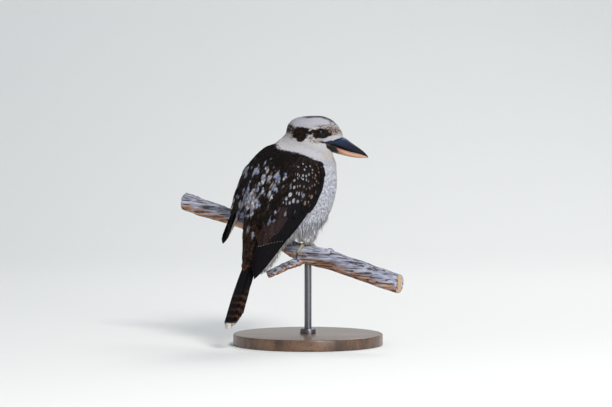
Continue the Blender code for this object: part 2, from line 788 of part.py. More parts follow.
def make_tail(torso):
    """Twelve tail feathers in pairs, each pair lower and further out, with coverts at their roots."""
    rings = []
    for down, raised, thick, wide in TAIL_PLUG:
        side, normal = Tail.turn(0)
        rings.append(oval(Tail.at(down, 0, raised), normal * thick, side * wide, 12))
    pieces = [loft("tail", rings)]
    level = 0
    for pair in range(TAIL_PAIRS):
        for sign in (1, -1):
            right = sign * (TAIL_OFFSET + TAIL_STEP * pair if pair else TAIL_MIDDLE)
            half = TAIL_HALF if pair else TAIL_MIDDLE_HALF
            end = TAIL_LENGTH - TAIL_SHORTER * pair**1.5
            raised = TAIL_TOP - TAIL_LEVEL * level
            roll = sign * TAIL_ROLL * (pair + 0.5)
            name = f"rectrix_{pair}_{sign}"
            spread = TAIL_SPREAD * pair
            pieces.append(tail_vane(name, TAIL_START, end, half, right, raised, roll, 5, spread))
            if pair == 0:
                level += 1
        level += 1
    for k, (right, end, raised) in enumerate(TAIL_COVERTS):
        roll = math.radians(28) * right / 0.007
        pieces.append(tail_vane(f"covert_{k}", TAIL_START - 0.006, end, 0.0062, right, raised, roll, 4))
    tail = union("tail", pieces, "MANIFOLD")
    cut(tail, swollen(torso, GAP))
    keep_largest(tail)
    return tail


def perch_frame(x):
    """Middle, axis, up and front of the branch at this X. Front is the way that the bird faces."""
    axis = (branch_point(x + 0.002) - branch_point(x - 0.002)).normalized()
    up = (Vector((0, 0, 1)) - axis * axis.z).normalized()
    return branch_point(x), axis, up, up.cross(axis)


def on_perch(x, angle, height):
    """A point over the branch's bark, this far round it from the top towards the bird's front."""
    middle, _, up, front = perch_frame(x)
    return middle + (up * math.cos(angle) + front * math.sin(angle)) * (branch_row(x)[2] + height)


def tube(name, points, radii, sides=8):
    """A closed round skin along points, its ends drawn in."""
    rings = []
    across = None
    for k, point in enumerate(points):
        ahead = (points[min(k + 1, len(points) - 1)] - points[max(k - 1, 0)]).normalized()
        if across is None:
            across = ahead.orthogonal().normalized()
        across = (across - ahead * ahead.dot(across)).normalized()
        rings.append(oval(point, across * radii[k], ahead.cross(across) * radii[k], sides))
    return loft(name, rings)


def make_foot(side, branch):
    """The bare lower leg with four toes, and a claw for each toe."""
    home_x, knee = FEET_PLACES[side]
    pieces = []
    claws = []
    for number, (shift, reach, length_x, radius) in enumerate(TOES, 1):
        x_start = home_x + shift * 0.35
        x_end = home_x + shift + length_x * (1 if side == "right" else 0.4)
        points, radii = [], []
        for k in range(TOE_STEPS):
            u = k / (TOE_STEPS - 1)
            angle = math.radians(reach) * u
            joint = 1 + 0.13 * math.cos(2 * math.pi * u * TOE_JOINTS)
            thick = radius * (1 - 0.28 * u) * joint
            rise = GAP + thick * 0.92
            points.append(on_perch(x_start + (x_end - x_start) * u, angle, rise))
            radii.append(thick)
        radii[0] *= 0.6
        pieces.append(tube(f"toe_{side}_{number}", points, radii, TOE_SIDES))
        tip_angle = math.radians(reach) + math.copysign(CLAW_GAP_ANGLE, reach)
        points, radii = [], []
        for k in range(CLAW_STEPS):
            u = k / (CLAW_STEPS - 1)
            angle = tip_angle + math.copysign(CLAW_SWEEP * u, reach)
            thick = max(CLAW_RADIUS * (1 - u) ** 0.8, 0.0003)
            arch = CLAW_ARCH * math.sin(math.pi * u)
            points.append(on_perch(x_end, angle, 2 * GAP + thick + arch))
            radii.append(thick)
        claws.append(tube(f"claw_{side}_{number}", points, radii, 6))
    palm = on_perch(home_x, 0, 0.0030)
    pieces.append(ball(f"palm_{side}", palm, 0.0046, 10, 6, (1.1, 1.0, 0.75)))
    ankle = BODY @ Vector(knee)
    path = [palm.lerp(ankle, u) for u in (0.0, 0.35, 0.7, 1.0)]
    pieces.append(tube(f"tarsus_{side}", path, [0.0031, 0.0024, 0.0024, 0.0028]))
    foot = union("foot_" + side, pieces)
    cut(foot, swollen(branch, GAP))
    for claw in claws:
        cut(claw, swollen(foot, GAP))
        cut(claw, swollen(branch, GAP))
        keep_largest(claw)
        finish(claw, claw.name, CLAW, 0.35)
    return foot


def make_leg(side, torso, branch):
    """The feathered thigh between the belly and the bare leg."""
    foot = make_foot(side, branch)
    path = [BODY @ Vector(row[:3]) for row in THIGHS[side]]
    thigh = tube("leg_" + side, path, [row[3] for row in THIGHS[side]], 14)
    cut(thigh, swollen(torso, GAP))
    cut(thigh, swollen(branch, GAP))
    keep_largest(thigh)
    finish(thigh, "leg_" + side, WHITE, 0.8)
    cut(foot, swollen(thigh, GAP))
    cut(foot, swollen(torso, GAP))
    keep_largest(foot)
    finish(foot, "foot_" + side, SKIN, 0.6)


def make_stand(branch):
    bpy.ops.mesh.primitive_cylinder_add(
        vertices=BASE_SIDES,
        radius=BASE_RADIUS,
        depth=BASE_HEIGHT,
        location=(0, 0, BASE_HEIGHT / 2),
    )
    base = bpy.context.active_object
    edge = base.modifiers.new("edge", "BEVEL")
    edge.width = BASE_EDGE
    edge.segments = 1
    edge.limit_method = "ANGLE"
    apply_modifiers(base)
    finish(base, "stand_base", STAND_WOOD, 0.4)
    rod_foot = BASE_HEIGHT + GAP
    rod_top = branch_point(0.0).z
    bpy.ops.mesh.primitive_cylinder_add(
        vertices=ROD_SIDES,
        radius=ROD_RADIUS,
        depth=rod_top - rod_foot,
        location=(0, 0, (rod_top + rod_foot) / 2),
    )
    rod = bpy.context.active_object
    cut(rod, swollen(branch, GAP))
    keep_largest(rod)
    finish(rod, "stand_rod", STEEL, 0.35, 0.9)
    inner = ROD_RADIUS + GAP
    shoulder, slope = COLLAR_SLOPE
    profile = [
        (inner, rod_foot + COLLAR_HEIGHT),
        (COLLAR_RADIUS - shoulder, rod_foot + COLLAR_HEIGHT),
        (COLLAR_RADIUS, rod_foot + COLLAR_HEIGHT - slope),
        (COLLAR_RADIUS, rod_foot),
        (inner, rod_foot),
    ]
    points = [(radius, 0, z) for radius, z in profile]
    mesh = bpy.data.meshes.new("stand_collar")
    mesh.from_pydata(points, [(i, (i + 1) % len(points)) for i in range(len(points))], [])
    collar = bpy.data.objects.new("stand_collar", mesh)
    bpy.context.scene.collection.objects.link(collar)
    turn = collar.modifiers.new("turn", "SCREW")
    turn.steps = COLLAR_SIDES
    turn.render_steps = COLLAR_SIDES
    turn.use_merge_vertices = True
    turn.merge_threshold = 0.00001
    apply_modifiers(collar)
    face_out(collar)
    finish(collar, "stand_collar", STEEL, 0.35, 0.9)


# The branch: its middle line runs through these points, x along the row frame's X, height and radius
BRANCH_YAW = math.radians(-32)
KNOT_X = 0.030
KNOT_RADIUS = 0.0048
KNOBS_PER_METRE = 60
BRANCH_RINGS = 26
BRANCH_SIDES = 12
BRANCH = [
    (-0.176, -0.0366, 0.0128),
    (-0.150, -0.0279, 0.0124),
    (-0.114, -0.0187, 0.0116),
    (-0.074, -0.0042, 0.0107),
    (-0.034, 0.0176, 0.0104),
    (-0.010, 0.0298, 0.0126),
    (0.008, 0.0340, 0.0140),
    (0.026, 0.0374, 0.0138),
    (0.050, 0.0442, 0.0134),
    (0.075, 0.0518, 0.0136),
    (0.100, 0.0602, 0.0134),
    (0.126, 0.0677, 0.0132),
]
# The broken side stub: x, drop, radius, and its lean towards the front of the stand
STUB_RINGS = 8
STUB = [
    (-0.004, 0.0330, 0.0098, 0.000),
    (-0.013, 0.0405, 0.0074, -0.008),
    (-0.026, 0.0465, 0.0064, -0.018),
    (-0.040, 0.0530, 0.0058, -0.029),
    (-0.057, 0.0600, 0.0054, -0.041),
]
BRANCH_LEVEL = FEET_HEIGHT + 0.0155


def branch_row(x):
    """Drop and radius of the branch at this X, by place in the table."""
    for i in range(len(BRANCH) - 1):
        if x <= BRANCH[i + 1][0]:
            break
    u = (x - BRANCH[i][0]) / (BRANCH[i + 1][0] - BRANCH[i][0])
    return along(BRANCH, (i + u) / (len(BRANCH) - 1))


def branch_point(x):
    _, drop, _ = branch_row(x)
    return Vector((x, x * math.tan(BRANCH_YAW), BRANCH_LEVEL - drop))


def knobbly(rings, amount, seed):
    """Rings pushed in and out a little, as weathered wood is."""
    made = []
    shift = Vector((seed, 0, 0))
    for ring in rings:
        centre = sum(ring, Vector()) / len(ring)
        swells = [1 + amount * noise.noise(p * KNOBS_PER_METRE + shift) for p in ring]
        made.append([centre + (p - centre) * swell for p, swell in zip(ring, swells)])
    return made


def make_branch():
    rings = []
    for i in range(BRANCH_RINGS):
        x = BRANCH[0][0] + (BRANCH[-1][0] - BRANCH[0][0]) * i / (BRANCH_RINGS - 1)
        here = branch_point(x)
        ahead = (branch_point(x + 0.002) - branch_point(x - 0.002)).normalized()
        across = ahead.cross(Vector((0, 0, 1))).normalized()
        up = across.cross(ahead)
        radius = branch_row(x)[2]
        rings.append(oval(here, up * radius, across * radius, BRANCH_SIDES))
    main = loft("perch_main", knobbly(rings, 0.10, 1.0))
    rings = []
    for i in range(STUB_RINGS):
        x, drop, radius, lean = along(STUB, i / (STUB_RINGS - 1))
        here = Vector((x, x * math.tan(BRANCH_YAW) + lean, BRANCH_LEVEL - drop))
        share = min(i / (STUB_RINGS - 1) + 0.05, 1.0)
        x2, drop2, _, lean2 = along(STUB, share)
        x1, drop1, _, lean1 = along(STUB, share - 0.06)
        sideways = (x2 - x1) * math.tan(BRANCH_YAW) + lean2 - lean1
        ahead = Vector((x2 - x1, sideways, drop1 - drop2)).normalized()
        across = ahead.cross(Vector((0, 0, 1))).normalized()
        rings.append(oval(here, across.cross(ahead) * radius, across * radius, 10))
    stub = loft("perch_stub", knobbly(rings, 0.14, 7.0))
    knot_at = branch_point(KNOT_X) + Vector((0, -0.004, branch_row(KNOT_X)[2] - 0.001))
    knot = ball("perch_knot", knot_at, KNOT_RADIUS, 10, 6, (1.2, 0.9, 0.8))
    branch = union("perch_branch", [main, stub, knot])
    keep_largest(branch)
    finish(branch, "perch_branch", BARK, 0.85)
    return branch


def clear_scene():
    for obj in list(bpy.data.objects):
        bpy.data.objects.remove(obj, do_unlink=True)


def gather():
    """The finished nodes, in a collection named for the bird."""
    flock = bpy.data.collections.new("laughing_kookaburra")
    bpy.context.scene.collection.children.link(flock)
    for obj in list(bpy.context.scene.collection.objects):
        bpy.context.scene.collection.objects.unlink(obj)
        flock.objects.link(obj)


def main():
    clear_scene()
    body = smooth_body()
    head, neck, torso = part_body(body)
    bpy.data.objects.remove(body, do_unlink=True)
    make_head(head)
    finish(neck, "neck", WHITE, 0.8)
    torso_tree = BVHTree.FromObject(torso, bpy.context.evaluated_depsgraph_get())
    branch = make_branch()
    cut(torso, swollen(branch, GAP))
    keep_largest(torso)
    make_wing("right", torso, torso_tree)
    make_wing("left", torso, torso_tree)
    tail = make_tail(torso)
    finish(tail, "tail", TAIL_BARS, 0.65)
    make_leg("right", torso, branch)
    make_leg("left", torso, branch)
    finish(torso, "torso", WHITE, 0.8)
    make_stand(branch)
    gather()


main()
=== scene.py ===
import math

import bmesh
import bpy
import numpy as np
from mathutils import Matrix, Vector, noise
from mathutils.bvhtree import BVHTree


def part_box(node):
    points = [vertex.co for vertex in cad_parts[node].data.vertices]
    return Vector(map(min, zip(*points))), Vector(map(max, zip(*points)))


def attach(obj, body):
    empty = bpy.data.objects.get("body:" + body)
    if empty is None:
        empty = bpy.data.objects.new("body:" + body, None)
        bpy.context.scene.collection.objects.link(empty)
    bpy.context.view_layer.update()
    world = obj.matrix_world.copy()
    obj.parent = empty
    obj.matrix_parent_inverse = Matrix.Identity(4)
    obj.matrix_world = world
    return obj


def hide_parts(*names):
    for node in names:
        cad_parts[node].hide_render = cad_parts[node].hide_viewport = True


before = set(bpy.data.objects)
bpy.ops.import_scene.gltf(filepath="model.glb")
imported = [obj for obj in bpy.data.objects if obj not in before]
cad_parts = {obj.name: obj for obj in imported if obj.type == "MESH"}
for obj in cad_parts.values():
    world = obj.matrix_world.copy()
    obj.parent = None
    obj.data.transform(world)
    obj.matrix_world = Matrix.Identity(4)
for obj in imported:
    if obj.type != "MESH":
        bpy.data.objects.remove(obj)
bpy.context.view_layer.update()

MM = 0.001

# Where the bird stands and faces, as the solids have it
FEET_HEIGHT = 0.1435
FEET = Vector((-0.021, 0.0085, FEET_HEIGHT))
EYE_LINE = Vector((0.044, -0.006, 0.1545))
BODY = Matrix.Translation(FEET) @ Matrix.Rotation(math.radians(45), 4, "Z")
HEAD = Matrix.Translation(BODY @ EYE_LINE) @ Matrix.Rotation(math.radians(10), 4, "Z")
TO_BODY = np.array(BODY.inverted())
TO_HEAD = np.array(HEAD.inverted())

# How deep the coat lies over the skin
BODY_COAT = 2.4 * MM
NECK_COAT = 1.5 * MM
FACE_COAT = 1.0 * MM
LEG_COAT = 1.2 * MM
SKIN_VOXEL = 1.3 * MM
# The solids grow by this before they are fused, and the skin goes back by it
SKIN_SWELL = 0.45 * MM

# The bill and the chin sit this much lower than in the solids, as the photograph's perspective has them
BILL_DROP = 2.2 * MM

chance = np.random.default_rng(29)


# Numbers

def smooth(low, high, x):
    """0 below low, 1 above high, and a soft step between."""
    t = np.clip((x - low) / (high - low), 0, 1)
    return t * t * (3 - 2 * t)


def into(matrix, points):
    """Points in a frame of the bird's own, in millimetres."""
    return (points @ matrix[:3, :3].T + matrix[:3, 3]) * 1000


def unit(vectors):
    return vectors / np.maximum(np.linalg.norm(vectors, axis=-1, keepdims=True), 1e-12)


def toward(a, b, share):
    """From a, this share of the way to b."""
    return a + (b - a) * share


def blend(colours, other, share):
    """Colours this share of the way, one for each point, to another colour or to a row of colours."""
    return colours + (other - colours) * share[:, None]


def along(rows, share):
    """The row at this share of a table's length, on a smooth curve through the rows."""
    place = min(max(share, 0.0), 1.0) * (len(rows) - 1)
    i = min(int(place), len(rows) - 2)
    u = place - i
    before, start, end, after = rows[max(i - 1, 0)], rows[i], rows[i + 1], rows[min(i + 2, len(rows) - 1)]
    return [
        0.5 * (2 * b + (c - a) * u + (2 * a - 5 * b + 4 * c - d) * u * u + (3 * b - a - 3 * c + d) * u**3)
        for a, b, c, d in zip(before, start, end, after)
    ]


def speckle(points, size, seed=0.0):
    """Smooth noise from about -1 to 1 at each point, with features of this size."""
    shift = Vector((seed, seed * 0.7, -seed))
    return np.array([noise.noise(Vector(p) / size + shift) for p in points])


def streaks(points):
    """Smooth noise from about -1 to 1, in streaks that run down the back and a little to the left."""
    x, y, z = points.T
    stretched = np.stack([(0.94 * x - 0.35 * z) / 0.0032, y / 0.010, (0.35 * x + 0.94 * z) / 0.013], 1)
    return np.array([noise.noise(Vector(p)) for p in stretched])


# Meshes

def new_object(name, data):
    obj = bpy.data.objects.new(name, data)
    bpy.context.scene.collection.objects.link(obj)
    return obj


def add_values(mesh, label, values):
    """An attribute of the mesh's points: a number for each, or a colour for each."""
    values = np.ascontiguousarray(values, np.float32)
    if values.ndim == 1:
        mesh.attributes.new(label, "FLOAT", "POINT").data.foreach_set("value", values)
        return
    rgba = np.ones((len(values), 4), np.float32)
    rgba[:, :3] = values
    mesh.color_attributes.new(label, "FLOAT_COLOR", "POINT").data.foreach_set("color", rgba.ravel())


def fast_mesh(name, points, faces, maps=None, values=None):
    """A mesh object from arrays: points, faces of equal count, and named UVs and values of its points."""
    mesh = bpy.data.meshes.new(name)
    count, sides = faces.shape
    mesh.vertices.add(len(points))
    mesh.vertices.foreach_set("co", np.ascontiguousarray(points, np.float32).ravel())
    mesh.loops.add(count * sides)
    mesh.loops.foreach_set("vertex_index", np.ascontiguousarray(faces, np.int32).ravel())
    mesh.polygons.add(count)
    mesh.polygons.foreach_set("loop_start", np.arange(0, count * sides, sides, dtype=np.int32))
    mesh.update(calc_edges=True)
    mesh.polygons.foreach_set("use_smooth", np.ones(count, bool))
    for label, uv in (maps or {}).items():
        layer = mesh.uv_layers.new(name=label)
        layer.data.foreach_set("uv", np.ascontiguousarray(uv[faces.ravel()], np.float32).ravel())
    for label, value in (values or {}).items():
        add_values(mesh, label, value)
    mesh.update()
    return new_object(name, mesh)


def read_points(obj, kind="co"):
    """The places of an object's points, or with kind normal their normals."""
    flat = np.empty(len(obj.data.vertices) * 3, np.float32)
    obj.data.vertices.foreach_get(kind, flat)
    return flat.reshape(-1, 3).astype(float)


def set_points(obj, points):
    obj.data.vertices.foreach_set("co", np.ascontiguousarray(points, np.float32).ravel())
    obj.data.update()


def apply_modifiers(obj):
    graph = bpy.context.evaluated_depsgraph_get()
    graph.update()
    mesh = bpy.data.meshes.new_from_object(obj.evaluated_get(graph))
    obj.modifiers.clear()
    old = obj.data
    obj.data = mesh
    bpy.data.meshes.remove(old)


def soften(obj, rounds, group=""):
    """Evens out the surface, only where the vertex group says so if one is named."""
    modifier = obj.modifiers.new("soften", "SMOOTH")
    modifier.factor = 0.5
    modifier.iterations = rounds
    modifier.vertex_group = group
    apply_modifiers(obj)


def face_outwards(mesh):
    work = bmesh.new()
    work.from_mesh(mesh)
    bmesh.ops.recalc_face_normals(work, faces=work.faces)
    work.to_mesh(mesh)
    work.free()


def loft_faces(rings, sides):
    """Faces between neighbouring rings of points."""
    faces = []
    for ring in range(rings - 1):
        for k in range(sides):
            a, b = ring * sides + k, ring * sides + (k + 1) % sides
            faces.append((a, b, b + sides, a + sides))
    return faces


def fused(name, nodes, swell, voxel, rounds):
    """The nodes' solids as one fine, softened skin, with the thin gaps between them closed."""
    work = bmesh.new()
    for node in nodes:
        part = bmesh.new()
        part.from_mesh(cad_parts[node].data)
        part.normal_update()
        for vertex in part.verts:
            vertex.co += vertex.normal * swell
        mesh = bpy.data.meshes.new("part")
        part.to_mesh(mesh)
        part.free()
        work.from_mesh(mesh)
        bpy.data.meshes.remove(mesh)
    mesh = bpy.data.meshes.new(name)
    work.to_mesh(mesh)
    work.free()
    obj = new_object(name, mesh)
    remesh = obj.modifiers.new("remesh", "REMESH")
    remesh.mode = "VOXEL"
    remesh.voxel_size = voxel
    soften(obj, rounds)
    return obj


def tree_of(obj):
    work = bmesh.new()
    work.from_mesh(obj.data)
    tree = BVHTree.FromBMesh(work)
    work.free()
    return tree


def hand_over(obj, look, replaced=()):
    """Gives a piece its material and its place on the model."""
    obj.data.materials.clear()
    obj.data.materials.append(look)
    if replaced:
        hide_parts(*replaced)
    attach(obj, "root")
    return obj


# Materials

class Amount:
    """A number that a material's nodes work out, for use in sums like any other number."""

    def __init__(self, look, socket):
        self.look, self.socket = look, socket

    def __add__(self, other):
        return self.look.maths("ADD", self, other)

    def __sub__(self, other):
        return self.look.maths("SUBTRACT", self, other)

    def __rsub__(self, other):
        return self.look.maths("SUBTRACT", other, self)

    def __mul__(self, other):
        return self.look.maths("MULTIPLY", self, other)

    def __pow__(self, other):
        return self.look.maths("POWER", self, other)

    def __abs__(self):
        return self.look.maths("ABSOLUTE", self)


class Look:
    """A material and short ways to add nodes to it."""

    def __init__(self, name, **sockets):
        self.material = bpy.data.materials.new(name)
        self.material.use_nodes = True
        self.tree = self.material.node_tree
        self.shader = self.tree.nodes["Principled BSDF"]
        for label, value in sockets.items():
            self.shader.inputs[label.replace("_", " ")].default_value = value

    def feed(self, socket, value):
        value = getattr(value, "socket", value)
        if isinstance(value, bpy.types.NodeSocket):
            self.tree.links.new(value, socket)
        elif value is not None:
            socket.default_value = value

    def add(self, kind, inputs=(), **settings):
        node = self.tree.nodes.new(kind)
        for label, value in settings.items():
            setattr(node, label, value)
        for place, value in dict(inputs).items():
            self.feed(node.inputs[place], value)
        return node

    def maths(self, operation, a, b=None):
        return Amount(self, self.add("ShaderNodeMath", {0: a, 1: b}, operation=operation).outputs[0])

    def step(self, value, low, high):
        """A soft step from 0 at low to 1 at high."""
        inputs = {"Value": value, "From Min": low, "From Max": high}
        node = self.add("ShaderNodeMapRange", inputs, interpolation_type="SMOOTHSTEP")
        return Amount(self, node.outputs[0])

    def mix(self, share, a, b, blend="MIX"):
        a, b = ((*v, 1.0) if isinstance(v, tuple) else v for v in (a, b))
        node = self.add("ShaderNodeMix", {0: share, 6: a, 7: b}, data_type="RGBA", blend_type=blend)
        return node.outputs[2]

    def noise(self, scale, detail=3.0, vector=None, rough=0.55):
        inputs = {"Scale": scale, "Detail": detail, "Roughness": rough, "Vector": vector}
        return Amount(self, self.add("ShaderNodeTexNoise", inputs).outputs["Fac"])

    def stretched(self, scale, turn=(0, 0, 0)):
        """Coordinates in metres, turned and then scaled."""
        coordinates = self.add("ShaderNodeTexCoord").outputs["Object"]
        turned = self.add("ShaderNodeMapping", {"Vector": coordinates, "Rotation": turn})
        return self.add("ShaderNodeMapping", {"Vector": turned.outputs[0], "Scale": scale}).outputs[0]

    def colour(self, label):
        return self.add("ShaderNodeAttribute", attribute_name=label).outputs["Color"]

    def amount(self, label):
        return Amount(self, self.add("ShaderNodeAttribute", attribute_name=label).outputs["Fac"])

    def split(self, vector):
        return [Amount(self, output) for output in self.add("ShaderNodeSeparateXYZ", {0: vector}).outputs]

    def paint(self, colour):
        self.feed(self.shader.inputs["Base Color"], colour)

    def roughen(self, amount):
        self.feed(self.shader.inputs["Roughness"], amount)

    def relief(self, height, distance, strength=1.0):
        bump = self.add("ShaderNodeBump", {"Height": height, "Distance": distance, "Strength": strength})
        self.feed(self.shader.inputs["Normal"], bump.outputs[0])


def barbs(look, lines):
    """Fine lines slanting from each feather's shaft, 0 to 1, with the place along and aside of the shaft."""
    across, down, _ = look.split(look.add("ShaderNodeUVMap", uv_map="vane").outputs[0])
    aside = abs(across - 0.5)
    return look.maths("SINE", (down - aside * 0.55) * lines) * 0.5 + 0.5, down, aside


def coat_look(name, dark, light, scale):
    """Soft small feathers: their tint, shaded between dark and light by grain of this scale."""
    look = Look(name, Roughness=0.85, Specular_IOR_Level=0.06, Sheen_Weight=0.04, Sheen_Roughness=0.5)
    lines = barbs(look, 70.0)[0]
    grain = look.step(look.noise(scale, 2.0), 0.36, 0.64) * (light - dark) + dark
    look.paint(look.mix(1.0, look.colour("tint"), grain * (lines * 0.10 + 0.93), "MULTIPLY"))
    look.relief(lines, 0.00025, 0.6)
    return look.material


def skin_look():
    look = Look("plumage_down", Roughness=0.9, Specular_IOR_Level=0.15)
    grain = look.noise(1400.0)
    look.paint(look.mix(1.0, look.colour("tint"), grain * 0.5 + 0.45, "MULTIPLY"))
    look.relief(grain, 0.0004, 0.8)
    return look.material


def vane_look():
    """Wing and tail feathers: own tint, bars, a pale patch near the tip, a pale tip and a dark shaft."""
    look = Look("vanes", Roughness=0.6, Specular_IOR_Level=0.05)
    lines, down, aside = barbs(look, 190.0)
    tint, pale, bars = look.colour("tint"), look.colour("pale"), look.amount("bars")
    ragged = look.noise(520.0, 2.0) * 0.16 - 0.08
    worn = look.mix(1.0, tint, (1.9, 1.65, 1.5), "MULTIPLY")
    colour = look.mix(look.step(look.noise(75.0), 0.42, 0.72), tint, worn)
    colour = look.mix(look.step(look.noise(420.0), 0.5, 0.75), colour, worn)

    # Rufous bars across the feather, one each ten millimetres, fading to its root and broken up
    off = abs(look.maths("FRACT", look.amount("down")) - 0.5) + (look.noise(330.0) * 0.36 - 0.18)
    bar = (1 - look.step(off, 0.14, 0.24)) * look.step(down, 0.42, 0.62)
    bar = bar * look.step(look.noise(110.0, 2.0), 0.38, 0.62)
    colour = look.mix(bar * bars, colour, (0.16, 0.058, 0.022))

    # The pale patch: an oval near the tip
    patch = (aside * look.amount("narrow")) ** 2.0 + ((down - 0.85) * look.amount("short")) ** 2.0
    patch = patch + ragged * 5.0 + (look.noise(240.0) * 2.4 - 1.2) * look.amount("torn")
    colour = look.mix((1 - look.step(patch, 0.4, 1.0)) * look.amount("spot"), colour, pale)

    # The pale tip, with a dark arrow on it where the feather has bars
    end = down - look.amount("tip_from") + ragged * 0.3
    colour = look.mix(look.step(end, 0.0, 0.02) * look.amount("tip"), colour, pale)
    arrow = 1 - look.step(abs(end + aside * 0.06 - 0.045), 0.004, 0.012)
    colour = look.mix(arrow * bars, colour, (0.008, 0.006, 0.006))

    shaft = 1 - look.step(aside, 0.012, 0.035)
    colour = look.mix(shaft * 0.6, colour, (0.012, 0.009, 0.008))
    look.paint(look.mix(1.0, colour, lines * 0.16 + 0.88, "MULTIPLY"))
    look.relief(lines * 0.5 + shaft * 1.5, 0.0003, 0.5)
    return look.material


# The bird's colours, all linear
WHITE = np.array((0.73, 0.71, 0.71))
BROW = np.array((0.68, 0.69, 0.77))
CREAM = np.array((0.82, 0.70, 0.56))
# Lavender: a tone of the white plumage at random, and also the colour of its painted shade
LAVENDER_TONE_AND_SHADE = np.array((0.55, 0.59, 0.72))
MASK = np.array((0.009, 0.005, 0.004))
BROWN = np.array((0.050, 0.028, 0.019))
RUSSET = np.array((0.26, 0.15, 0.075))
TAN = np.array((0.27, 0.17, 0.11))
MANTLE = np.array((0.0085, 0.0058, 0.0052))
PALE_BLUE = np.array((0.30, 0.33, 0.47))
SPOT_WHITE = np.array((0.62, 0.64, 0.70))
GAPE_SKIN = np.array((0.050, 0.047, 0.036))
EDGE_CREAM = np.array((0.30, 0.26, 0.22))
MOTTLE_TAN = np.array((0.24, 0.17, 0.14))
PLUM = np.array((0.050, 0.032, 0.034))
RUFOUS = np.array((0.075, 0.034, 0.018))
FLIGHT = np.array((0.0036, 0.0034, 0.0046))
TAIL_WHITE = np.array((0.82, 0.78, 0.70))

# The mantle's upper edge, which slopes up to the hind neck, and its front edge: heights and places forward
MANTLE_TOP = 117.0
MANTLE_SLOPE = 0.46
MANTLE_FRONT = ([-45, -10, 21, 55, 88, 116], [-78, -72, -55, -34, -12, 8])

# The mask: ovals on the side of the head, in millimetres from the point between the eyes, each with its
# middle forwards and up, half length, half height, softness, and how far its edge wobbles along and up
MASK_OVALS = [
    (-1.0, -2.2, 12.6, 7.0, 0.22, 1.8, 1.8),
    (8.0, -3.4, 8.4, 3.0, 0.30, 1.8, 0.0),
    (-30.5, -2.8, 9.2, 10.4, 0.20, 1.8, 1.8),
    (-26.0, 1.8, 9.0, 5.2, 0.30, 1.8, 0.0),
    (-16.0, 0.3, 9.5, 3.3, 0.30, 0.0, 1.8),
]
NAPE_SPOT = (-42.0, 5.0, 6.0, 6.0)

# Speckled ovals on the side of the head: over the eye, before it, behind the gape and at the ear, each with
# its middle, half length and half height, colour, the luck that starts and ends it, and its strength
HEAD_SPECKLES = [
    ((4.0, 6.0, 17.0, 4.5), TAN * 0.8, 0.25, 0.5, 0.9),
    ((16.0, 1.5, 11.0, 5.0), RUSSET * 0.8, 0.05, 0.25, 0.95),
    ((16.0, 1.5, 11.0, 5.0), BROWN * 1.4, 0.5, 0.62, 0.9),
    ((-9.0, -10.0, 11.0, 5.5), TAN * 1.2, 0.3, 0.5, 0.55),
    ((-9.0, -10.0, 11.0, 5.5), TAN * 0.5, 0.7, 0.8, 0.7),
    ((-40.0, -2.0, 7.0, 9.0), TAN * 0.7, 0.5, 0.6, 0.8),
]

# The line where the halves of the bill meet, places forwards and heights, in the same frame
GAPE_LINE = ([-4, 1, 6, 14, 25, 36], [-13.2, -14.2, -15.2, -18.0, -21.2, -25.5])

# Pale places on the mantle, as seen from behind its right: world X and Z in mm, radius, strength
PALE_PLACES = [
    (-80.0, 207.0, 10.0, 0.97), (-72.0, 203.0, 6.0, 0.80), (-91.0, 202.0, 5.0, 0.90),
    (-85.0, 243.0, 5.0, 0.75), (-71.0, 251.0, 6.0, 0.50), (-64.0, 219.0, 6.0, 0.60),
    (-51.0, 212.0, 4.0, 0.97), (-45.0, 225.0, 4.0, 0.97), (-41.0, 236.0, 4.0, 0.97),
    (-56.0, 239.0, 8.0, 0.50), (-60.0, 258.0, 3.0, 0.55), (-13.5, 252.0, 3.0, 0.97),
    (-96.0, 187.5, 2.6, 0.95), (-90.0, 185.5, 2.6, 0.95), (-84.0, 185.5, 2.6, 0.95),
    (-78.0, 189.0, 2.6, 0.90), (-81.8, 166.5, 3.0, 0.55), (-71.4, 170.1, 3.0, 0.55),
    (-58.8, 164.5, 3.0, 0.55), (-74.9, 157.1, 2.4, 0.45), (-51.8, 177.8, 3.0, 0.60),
]


def oval(x, z, shape, soft):
    """1 inside an oval of the head's side, 0 outside."""
    middle_x, middle_z, half_x, half_z = shape
    reach = np.hypot((x - middle_x) / half_x, (z - middle_z) / half_z)
    return 1 - smooth(1 - soft, 1 + soft, reach)


def mantle_edge(bx, by):
    """Height of the mantle's upper edge: it slopes up to the hind neck, and steeply on the far side."""
    far_side = smooth(0, 20, by) * smooth(20, -12, bx)
    nape_side = smooth(-15, -35, bx) * (8 * smooth(-16, -2, by) - 4)
    return MANTLE_TOP - MANTLE_SLOPE * bx + 15 * far_side + nape_side


def white_parts(body, head, luck, broad):
    """White plumage, with lavender patches at random, painted lavender shade over the breast and flank of
    the body's right side, and cream on the throat and the belly.
    """
    by, bz = body[:, 1], body[:, 2]
    hx, _, hz = head.T
    colours = np.repeat(WHITE[None], len(luck), 0)
    for colour, share in (
        (LAVENDER_TONE_AND_SHADE, 0.38 * smooth(0.05, 0.75, luck) * smooth(-0.5, 0.5, broad)),
        # Painted lavender shade on the breast and flank of the body's right side
        (LAVENDER_TONE_AND_SHADE, 0.5 * smooth(-22, -50, by)),
        (CREAM, 0.55 * smooth(-24, -33, hz) * smooth(-14, 4, hx) * smooth(112, 124, bz)),
        (CREAM, 0.25 * smooth(25, -10, bz)),
    ):
        colours = blend(colours, colour, share)
    return colours


